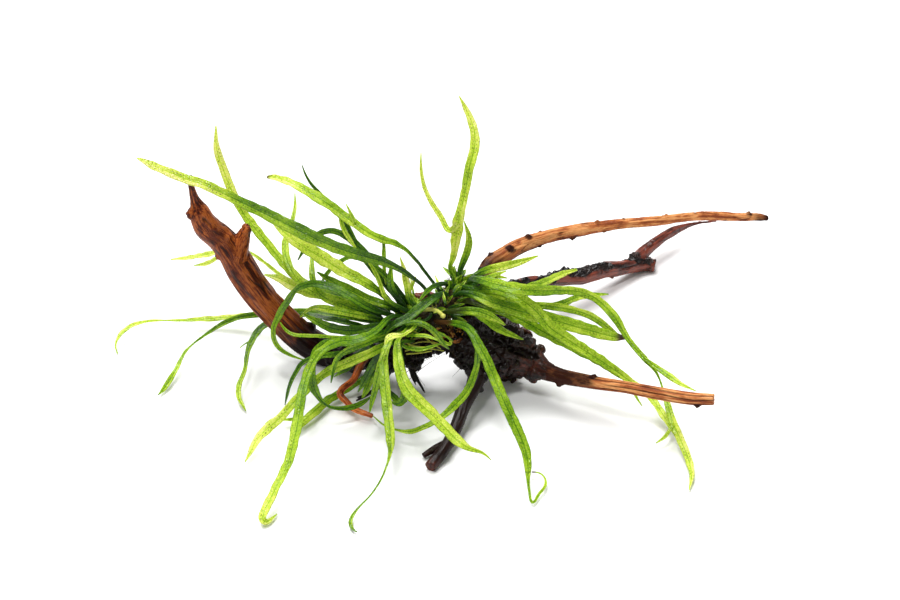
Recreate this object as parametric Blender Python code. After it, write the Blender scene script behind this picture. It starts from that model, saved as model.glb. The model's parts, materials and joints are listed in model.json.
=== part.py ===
"""Java fern growing on a branching piece of driftwood.

The wood is a low knotty hub with limbs that reach out from it and rest on
the ground.  A creeping rhizome lies along the top of the hub, and narrow
fronds rise from it, arch over and hang down on every side.

Routes are picked by eye on the photograph, in its 900 x 600 frame.  Each
point is (across, down, height, width): the pixel, the height over the
ground in millimetres, and the width or thickness there in millimetres.
"""

import math
from dataclasses import dataclass

import bmesh
import bpy
import numpy as np
from mathutils import Matrix, Vector
from mathutils.geometry import interpolate_bezier

MM = 0.001

# The real size: 653 pixels in the picture, from tip to tip, stand for 274 mm
# at the middle of the piece.  The tips that are nearer or further make it 286 mm.
WIDTH_AT_MIDDLE = 274 * MM
WIDTH_PX = 653
PIXEL = WIDTH_AT_MIDDLE / WIDTH_PX

# Where the picture was taken from.
PICTURE_CENTRE = (450.0, 300.0)
VIEW_DISTANCE = 800 * MM
VIEW_ELEVATION = math.radians(33)
VIEW_TARGET = Vector((1, 6.45, 30)) * MM

# Fronds.
BLADE_THICKNESS = 0.8 * MM
GAP = 0.3 * MM
SAMPLE_STEP = 1.5 * MM
BLADE_STEP = 14 * MM
BLADE_BEND = math.radians(40)
TIP_CLEARANCE = 0.6 * MM

# How crossing fronds make room for each other.
CROSSING_GAP = 1.6 * MM
CROSSING_TILT = 0.42
CROSSING_MARGIN_PX = 1.6
SIDE_GAP = 0.9 * MM
LIMB_ROOM = 1.12
NEAR_REACH = 8 * MM
SCAR_REACH = 2.5 * MM
BEND_LENGTH = 9 * MM
STALK_LENGTH = 15 * MM
STALK_ROOT = 5 * MM
LOBE_ROOT = 5 * MM
LARGEST_SHIFT = 16 * MM
ORDER_STAGES = 4
PARTING_STAGES = 4
STAGE_ROUNDS = 30
SETTLING_RATE = 0.6
SMOOTHING = 0.35

# Wood.
LIMB_SIDES = 9
LIMB_STEP = 10 * MM
BED_GAP = 0.4 * MM
GROUND_SLAB = 40 * MM

SCAR_RISE = 1.1
SCAR_WIDTH = 1.1 * MM
STALK_WIDTH = 1.9 * MM
STALK_LEAD = 2.6 * MM
SWAP_ROUNDS = 4

# The leaf scars around the rhizome from which the stalks rise.
SCAR_SPACING = 2.7 * MM
SCAR_ANGLES_DEG = (-118, -84, -50, -16, 18, 52, 86, 120)


# --------------------------------------------------------------------------
# The viewpoint
# --------------------------------------------------------------------------

VIEW_RIGHT = Vector((1, 0, 0))
VIEW_FORWARD = Vector((0, math.cos(VIEW_ELEVATION), -math.sin(VIEW_ELEVATION)))
VIEW_UP = Vector((0, math.sin(VIEW_ELEVATION), math.cos(VIEW_ELEVATION)))
EYE = VIEW_TARGET - VIEW_FORWARD * VIEW_DISTANCE
FOCAL_PX = VIEW_DISTANCE / PIXEL
TO_VIEWER = -VIEW_FORWARD
BLADE_FACING = (TO_VIEWER * 0.7 + Vector((0, 0, 1)) * 0.3).normalized()


def sight_line(across, down):
    """Direction from the eye through a pixel, one unit deep."""
    side = VIEW_RIGHT * ((across - PICTURE_CENTRE[0]) / FOCAL_PX)
    rise = VIEW_UP * ((PICTURE_CENTRE[1] - down) / FOCAL_PX)
    return VIEW_FORWARD + side + rise


def spot(across, down, height_mm):
    """The point that is seen at a pixel and lies at a height."""
    line = sight_line(across, down)
    depth = (height_mm * MM - EYE.z) / line.z
    return EYE + line * depth


# --------------------------------------------------------------------------
# Smooth routes
# --------------------------------------------------------------------------

def smooth_route(knots, widths, step):
    """Points and widths at even steps on a smooth curve through the knots."""
    track, track_widths = [knots[0]], [widths[0]]
    last = len(knots) - 1
    for index in range(last):
        start, end = knots[index], knots[index + 1]
        before = knots[max(index - 1, 0)]
        after = knots[min(index + 2, last)]
        reach = (end - start).length / 3
        lead_out = start + (end - before).normalized() * reach
        lead_in = end - (after - start).normalized() * reach
        piece = interpolate_bezier(start, lead_out, lead_in, end, 13)
        for count, point in enumerate(piece[1:], 1):
            share = count / 12
            track.append(point)
            track_widths.append(widths[index] * (1 - share) + widths[index + 1] * share)
    track = np.array([tuple(point) for point in track])
    steps = np.linalg.norm(np.diff(track, axis=0), axis=1)
    along = np.concatenate([[0.0], np.cumsum(steps)])
    count = max(4, int(round(along[-1] / step)) + 1)
    even = np.linspace(0.0, along[-1], count)
    points = np.stack([np.interp(even, along, track[:, axis]) for axis in range(3)], axis=1)
    return points, np.interp(even, along, track_widths), even


class Strand:
    """One smooth run of a frond or a limb, as samples seen from the viewpoint."""

    def __init__(self, name, family, knots, widths, root=STALK_ROOT, stalk=STALK_LENGTH):
        self.name = name
        self.family = family
        self.start, self.widths, self.along = smooth_route(knots, widths, SAMPLE_STEP)
        relative = self.start - np.array(EYE)
        depth = relative @ np.array(VIEW_FORWARD)
        self.lines = relative / depth[:, None]
        self.across = self.lines @ np.array(VIEW_RIGHT) * FOCAL_PX
        self.down = -self.lines @ np.array(VIEW_UP) * FOCAL_PX
        self.half_px = self.widths / 2 * FOCAL_PX / depth
        self.shift = np.zeros_like(self.start)
        self.fixed = False
        self.parent = None
        self.fork = 0
        self.is_stalk = self.along < stalk
        self.freedom = np.clip(self.along / root, 0, 1)
        apart = self.along[:, None] - self.along[None, :]
        self.bend = np.exp(-(apart / BEND_LENGTH) ** 2)

    def carried(self):
        """How far each sample has moved, with the parent's move at the fork."""
        if self.parent is None:
            return self.shift
        return self.shift + self.parent.carried()[self.fork]

    def points(self):
        """World points of the samples, where they are now."""
        return self.start + self.carried()

    def depths(self):
        """Depth of each sample along the view."""
        return (self.points() - np.array(EYE)) @ np.array(VIEW_FORWARD)

    def give_way(self, push, smoothing):
        """Moves by a push at some samples, eased into a smooth bend."""
        strength = self.bend * np.linalg.norm(push, axis=1)[None, :]
        source = strength.argmax(axis=1)
        ease = self.bend[np.arange(len(source)), source] * self.freedom
        self.shift = self.shift + SETTLING_RATE * ease[:, None] * push[source]
        inner = self.shift[1:-1] * (1 - smoothing)
        self.shift[1:-1] = inner + (self.shift[:-2] + self.shift[2:]) * (smoothing / 2)
        size = np.linalg.norm(self.shift, axis=1)
        self.shift *= np.minimum(1, LARGEST_SHIFT / np.maximum(size, LARGEST_SHIFT))[:, None]

    def keep_off_ground(self):
        """Moves nearer the eye where the strand would go into the ground."""
        low = TIP_CLEARANCE + self.widths * 0.2 - self.points()[:, 2]
        sunk = np.clip(low, 0, None) / -self.lines[:, 2]
        lift = (self.bend * sunk[None, :]).max(axis=1)
        self.shift = self.shift - self.lines * lift[:, None]


# --------------------------------------------------------------------------
# The wood's routes
# --------------------------------------------------------------------------

LEFT_ARM = (
    (350, 358, 8, 11.4), (328, 353, 4.2, 12.4), (304, 340, 12, 12.6), (283, 320, 22, 12.6),
    (262, 297, 33.5, 12.8), (241, 268, 48.5, 12.8), (232, 253, 56, 12), (220, 238, 63, 11.4),
    (207, 226, 70, 11.2), (199, 210, 78, 8.2), (195, 200, 83, 4.4), (191.5, 190, 88, 2.9),
    (190, 182, 91.5, 1.8), (190.5, 175, 95, 0.8),
)
LEFT_ARM_STUB = ((238, 255, 56, 9), (243, 239, 62.5, 6.8), (246, 231, 66, 5), (247.5, 225.5, 68.6, 3.8))

HUB_SPINE = (
    (349, 358, 8, 11.4), (375, 353, 11.5, 12), (403, 350, 16, 12), (424, 346, 19, 10.5),
    (441, 340, 21.5, 11), (457, 339, 22, 16), (476, 345, 21, 23), (505, 350, 18.5, 24),
    (528, 360, 14.6, 13.4), (545, 371, 13.4, 7.4),
)
HUB_LUMPS = (
    (470, 312, 26, 16), (495, 329, 24, 14), (511, 339, 20, 11), (531, 350, 17, 7.6),
    (438, 331, 26, 12), (414, 338, 22, 11), (484, 365, 12, 13), (508, 369, 5, 11.4),
    (533, 373, 10, 8), (504, 326, 25, 8), (414, 360, 16, 8.5),
)
HUB_SPIKE = ((512, 331, 23, 5), (521, 333, 22, 3.4), (529, 334, 21.5, 1.0))

REAR_UPPER_BRANCH = (
    (486, 305, 24, 11), (484, 286, 30, 8.8), (490, 266, 35, 7.4), (502, 257, 37, 7.2),
    (520, 246, 38, 6.8), (550, 236, 38, 5.8), (580, 230, 38, 5.6), (620, 224, 38, 4.5),
    (660, 220.5, 37.5, 4.0), (700, 216, 36.5, 3.9), (740, 217, 34.5, 3.7), (760, 217.5, 33.6, 3.2),
    (768, 218.5, 33.2, 2.0),
)
REAR_LOWER_BRANCH = (
    (492, 314, 19, 10), (501, 293, 18.5, 7.4), (522, 284, 17.5, 5.2), (545, 281, 16, 5.2),
    (562, 277, 14.5, 7.4), (582, 275.5, 12.5, 8.0), (602, 270.5, 10, 7.6), (622, 267.5, 6.6, 7),
    (643, 263.5, 3.6, 7.6), (655, 266, 2.6, 5.4),
)
REAR_LOWER_FORK = (
    (630, 265, 5.4, 6), (645, 251, 7.5, 5.8), (655, 243, 8.6, 5.4), (665, 236, 9, 4.6),
    (676, 230, 9, 3.6), (690, 224.7, 8.6, 2.2), (704, 222.3, 8.2, 1.5), (717, 221, 7.4, 0.8),
)
FRONT_RIGHT_BRANCH = (
    (536, 368, 13.5, 8.6), (560, 376, 13.6, 6.4), (580, 380, 15, 5.8), (600, 383.5, 17, 5.2),
    (625, 387, 19.5, 4.8), (656, 393, 22, 5.2), (690, 398.5, 24, 5.2), (714, 399.5, 25.4, 4.6),
)
FRONT_LEG = (
    (480, 366, 16, 9), (474, 385, 12.6, 6.6), (465, 403, 9.6, 5.6), (455, 430, 6, 5.2),
    (443, 451, 3.6, 5), (430, 467, 2.1, 4.8),
)
FRONT_LEG_TOE = ((452, 442, 4.8, 4), (437, 448, 3.2, 3.4), (423, 456, 1.6, 2.2))
RED_TWIG = (
    (368, 352, 15, 4.4), (360, 366, 13, 3.2), (353, 380, 11, 2.8), (340, 392, 7, 3),
    (346, 401, 5.6, 2.7), (354, 409, 4.4, 2.6), (373, 416, 3, 2.0),
)
DARK_TWIG = ((393, 360, 13, 4), (381, 384, 8.4, 2.2), (368, 394, 5.5, 1.8), (356, 401, 3, 1.0))
ROOT_TWIG = ((408, 356, 14, 4.4), (412, 370, 10.6, 3), (418, 381, 7, 2.4), (425, 393, 3, 1.2))

# Where along its route each limb parts from the hub, in millimetres.
LEFT_ARM_PARTING = 9
REAR_UPPER_PARTING = 14
REAR_LOWER_PARTING = 11
FRONT_RIGHT_PARTING = 6.5
FRONT_LEG_PARTING = 10
RED_TWIG_PARTING = 7
DARK_TWIG_PARTING = 6
ROOT_TWIG_PARTING = 6

# Small knots on the limbs: share of the length, turn round it in degrees, size in mm.
REAR_UPPER_KNOTS = (
    (0.187, 112, 3.4), (0.262, 140, 3.2), (0.402, 24, 3.0), (0.482, 146, 3.0), (0.94, 140, 2.6),
)
REAR_LOWER_KNOTS = (
    (0.296, 128, 3.6), (0.5, 150, 4.0), (0.64, 115, 3.0), (0.97, 130, 4.0),
)
FRONT_RIGHT_KNOTS = ((0.15, 6, 3.8), (0.34, 165, 2.8), (0.92, 6, 3.2))
LEFT_ARM_KNOTS = ((0.86, 160, 5.0), (0.24, 10, 4.8), (0.67, 175, 3.4))

RHIZOME = (
    (384, 332, 28.5, 6.4), (396, 326, 30.5, 8.2), (412, 321, 32.6, 8.6), (432, 317, 35.4, 9.6),
    (447, 306, 36.5, 9.4), (454, 293, 36.5, 8.4), (459, 280, 36, 5.4),
)
YOUNG_SHOOT = ((425, 310, 41.5, 1.6), (433, 309, 43, 1.8), (440, 312, 42.5, 1.5), (443, 316, 41.5, 0.7))


# --------------------------------------------------------------------------
# The fronds, from the rearmost to the nearest: where two cross in the
# picture, the later one passes in front
# --------------------------------------------------------------------------

@dataclass(frozen=True)
class Frond:
    """One frond: its route from stalk to tip, and the lobes that fork off it.

    A lobe is (index of the route's point where it leaves, its own route).
    Tone runs from 0, pale yellow-green, to 1, dark green.
    """

    name: str
    route: tuple
    lobes: tuple = ()
    tone: float = 0.5
    roll: float = 0.0
    turn: float = 0.0


BEHIND_ARM = (
    Frond("far_left_pale_frond", (
        (335, 293, 43, 3), (300, 286, 45, 3), (279, 276, 46, 1.8), (263, 262, 46.5, 1.5),
        (250, 253, 46.5, 1.6), (228, 251, 44, 2.6), (205, 255, 37, 2.8), (187, 258, 30, 2.4),
        (171, 259.5, 25, 0.7)),
        lobes=((5, ((217, 258, 37, 2), (206, 263.5, 32, 2.2), (194, 265.5, 28, 0.6))),),
        tone=0.1, roll=10),
    Frond("far_left_broad_frond", (
        (330, 296, 42, 4), (310, 292, 41, 5), (295, 287, 39, 5), (278, 280, 37, 3.4),
        (263, 276, 34, 0.8)),
        tone=0.12, roll=-8),
    Frond("upright_left_frond", (
        (345, 297, 47, 3.4), (325, 293, 49, 3.8), (304, 283, 51, 3.8),
        (284, 264, 54, 3.8), (263, 238, 60, 3.8), (245, 216, 66, 3.8), (236, 200, 72, 3.8),
        (225, 174, 81, 3.6), (217, 150, 91, 3.2), (216, 126, 101, 0.6)),
        tone=0.25, roll=12, turn=-20),
    Frond("left_floor_frond_long", (
        (335, 309, 30, 2.4), (300, 311, 21, 2.4), (275, 314, 13, 2.4),
        (250, 315.5, 8, 2.8), (225, 317.5, 5.5, 3), (205, 319, 5, 2.8), (180, 320.5, 5, 1.4),
        (165, 320.5, 5, 0.8), (150, 321, 5.5, 1.4), (135, 324, 6, 2.2), (122, 332, 5, 2.2),
        (116, 342, 3.5, 1.2), (115.5, 349, 2.2, 0.6), (118, 354, 1.4, 0.4)),
        tone=0.15, roll=15),
    Frond("left_floor_frond_drooping", (
        (335, 315, 29, 3), (300, 312, 22, 3), (275, 313, 19, 2.8),
        (253, 315, 16, 2.8), (238, 317.5, 14.5, 2.4), (222, 324, 12, 2.2), (205, 335, 9.5, 1.2),
        (193, 344, 8, 0.8), (185, 352, 6.5, 1.4), (177, 368, 4, 2), (168, 383, 2.4, 2.6),
        (163, 390, 1.8, 2), (158, 395, 1.3, 0.4)),
        tone=0.55, roll=-12, turn=20),
    Frond("left_floor_frond_hooked", (
        (340, 320, 28, 2.6), (305, 317, 22, 2.6), (280, 320, 18, 2.6),
        (263, 327, 14.5, 3.2), (252, 341, 12.5, 3.2), (247, 355, 11, 2), (245, 370, 8.5, 1.8),
        (239, 385, 6, 2.2), (238.5, 397, 4, 2.2), (243, 406, 2.5, 1.4), (246, 411, 1.4, 0.4)),
        lobes=((4, ((246, 343, 12, 0.7), (240, 348, 11.2, 0.4))),),
        tone=0.75, roll=8, turn=-25),
)

MIDDLE_REAR = (
    Frond("left_pale_blade", (
        (340, 300, 42, 3.2), (315, 293, 44, 3.2), (298, 280, 46, 3),
        (288, 263, 49, 3), (285, 248, 53, 3), (287, 235, 57, 2.6), (292, 222, 62, 2),
        (295, 208, 66, 1.6), (295, 193, 71, 0.4)),
        tone=0.2, roll=-10),
    Frond("left_grey_blade", (
        (368, 265, 56, 2.2), (347, 226, 72, 2.2), (332, 206, 78, 2.2),
        (318, 192, 84, 1.8), (310, 183, 88, 1.4), (305, 174, 91, 1), (302, 165, 94, 0.4)),
        tone=0.9, roll=20),
    Frond("left_upright_blade", (
        (345, 305, 41, 3), (325, 298, 42, 3), (314, 285, 45, 2.6),
        (312, 268, 50, 2.4), (312, 245, 56, 0.4)),
        tone=0.35, roll=-15),
    Frond("tall_side_frond", (
        (459, 273, 43, 2.2), (464, 260, 48, 3), (469, 245, 54, 3), (468, 234, 59, 2.4),
        (464, 221, 65, 0.4)),
        tone=0.6, roll=18),
    Frond("tall_frond", (
        (449, 270, 46, 1.5), (454, 256, 52, 2.8), (456, 240, 60, 4.4), (458, 225, 68, 5.2),
        (461, 210, 75, 3.8), (464, 197, 80, 3.6), (467, 182, 86, 3.6), (470, 165, 93, 4),
        (474, 150, 98, 4), (475, 135, 103, 3.6), (471, 120, 108, 3), (466, 109, 112, 2.2),
        (459, 96, 117, 0.4)),
        lobes=((3, ((449, 231, 64, 2.4), (441, 217, 68, 2.4), (431, 202, 74, 2.2),
                    (424, 186, 80, 1.8), (421, 170, 86, 1.4), (421, 153, 93, 0.4))),),
        tone=0.35, roll=-8, turn=25),
    Frond("right_pale_frond", (
        (477, 274, 43, 2.6), (490, 269.5, 43, 3.4), (505, 266, 43, 3.8),
        (520, 262, 43, 3), (538, 256, 43, 0.6)),
        tone=0.15, roll=10),
    Frond("right_small_forked_frond", (
        (480, 280, 42, 2.2), (493, 276, 41, 2.8), (506, 271, 40, 0.6)),
        lobes=((1, ((500, 277, 40, 1.6), (507, 278, 39, 0.5))),),
        tone=0.25, roll=-12),
)

RIGHT_FRONDS = (
    Frond("right_forked_frond", (
        (470, 290, 44, 2.8), (495, 298, 46, 4), (520, 304, 45, 4), (545, 306, 43, 3.2),
        (568, 309, 40, 3.2), (590, 315.5, 35, 3), (603, 324, 31, 3), (618, 335, 26, 1)),
        lobes=((3, ((562, 304, 42, 3), (573, 299, 41, 3), (590, 295, 39, 2.8),
                    (609, 294, 37, 0.5))),),
        tone=0.45, roll=14),
    Frond("right_lower_frond", (
        (466, 299, 42, 3), (485, 304, 42, 4.6), (505, 312, 41, 5), (525, 322, 38, 5),
        (548, 334.5, 33, 4.8), (570, 346, 28, 4.6), (592, 358, 23, 4), (612, 370, 17, 3),
        (628, 382, 11, 1)),
        tone=0.85, roll=-14, turn=15),
    Frond("right_brown_tipped_frond", (
        (470, 295, 44, 3), (495, 303, 46, 5), (520, 311, 44, 5.4), (545, 318, 40, 5.6),
        (570, 325, 35, 5.8), (595, 332, 29, 5.2), (615, 337, 24, 3.6), (626, 338, 21, 1.2)),
        tone=0.6, roll=6),
    Frond("right_middle_frond", (
        (472, 285, 46, 3), (500, 289, 49, 5), (519, 298, 48, 5.2), (537, 312, 44, 5),
        (549, 327, 39, 5), (565, 338, 34, 5), (588, 353, 28, 4.8), (610, 367, 22, 4.2),
        (628, 380, 15.5, 3.6), (641, 389, 11, 2.8), (653, 400, 8.5, 3), (663, 415, 6.5, 3.2),
        (671, 428, 5, 2.4), (675, 436, 4.2, 0.6)),
        lobes=((8, ((635, 395, 9, 1.4), (642, 406, 6, 0.4))),),
        tone=0.3, roll=-6, turn=-20),
    Frond("right_outer_frond", (
        (470, 282, 44, 3), (495, 285, 47, 5), (520, 290, 47, 5.4), (545, 291, 45, 4.4),
        (574, 291, 42, 3.6), (595, 298, 38, 3.4), (613, 315, 33, 3.8), (628, 339, 26, 2.4),
        (643, 357, 21.5, 2.6), (655, 370, 18, 1.4), (660, 380, 15, 0.8), (663, 390, 13, 1),
        (668, 405, 10, 2.8), (674, 425, 7.5, 3.2), (682, 443, 5.5, 3.4), (689, 460, 3.6, 3.2),
        (692, 476, 2.4, 2.4), (689, 490, 1.4, 0.4)),
        lobes=((2, ((545, 282, 43, 3.2), (560, 275, 41, 3), (576, 270, 39, 1.2))),
               (8, ((662, 371, 20, 2.6), (671, 377, 20, 2.8), (683, 385, 19, 1.8),
                    (696, 391, 18, 0.4))),
               (13, ((665, 437, 5.4, 1.6), (656, 443, 4.4, 0.4)))),
        tone=0.5, roll=10, turn=30),
)

BEHIND_TWIG = (
    Frond("front_left_crossing_frond", (
        (382, 349, 34, 2.2), (379, 360.5, 20, 2.4), (369, 374, 7.6, 2.8), (353, 385, 4.2, 3),
        (330, 398.5, 4.2, 3.8), (308, 417, 3.8, 4), (298, 427, 3.2, 2.4), (290, 436, 2.4, 0.5)),
        lobes=((5, ((295, 419, 3.6, 1.8), (279, 420, 3.2, 0.5))),),
        tone=0.35, roll=12),
)

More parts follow.
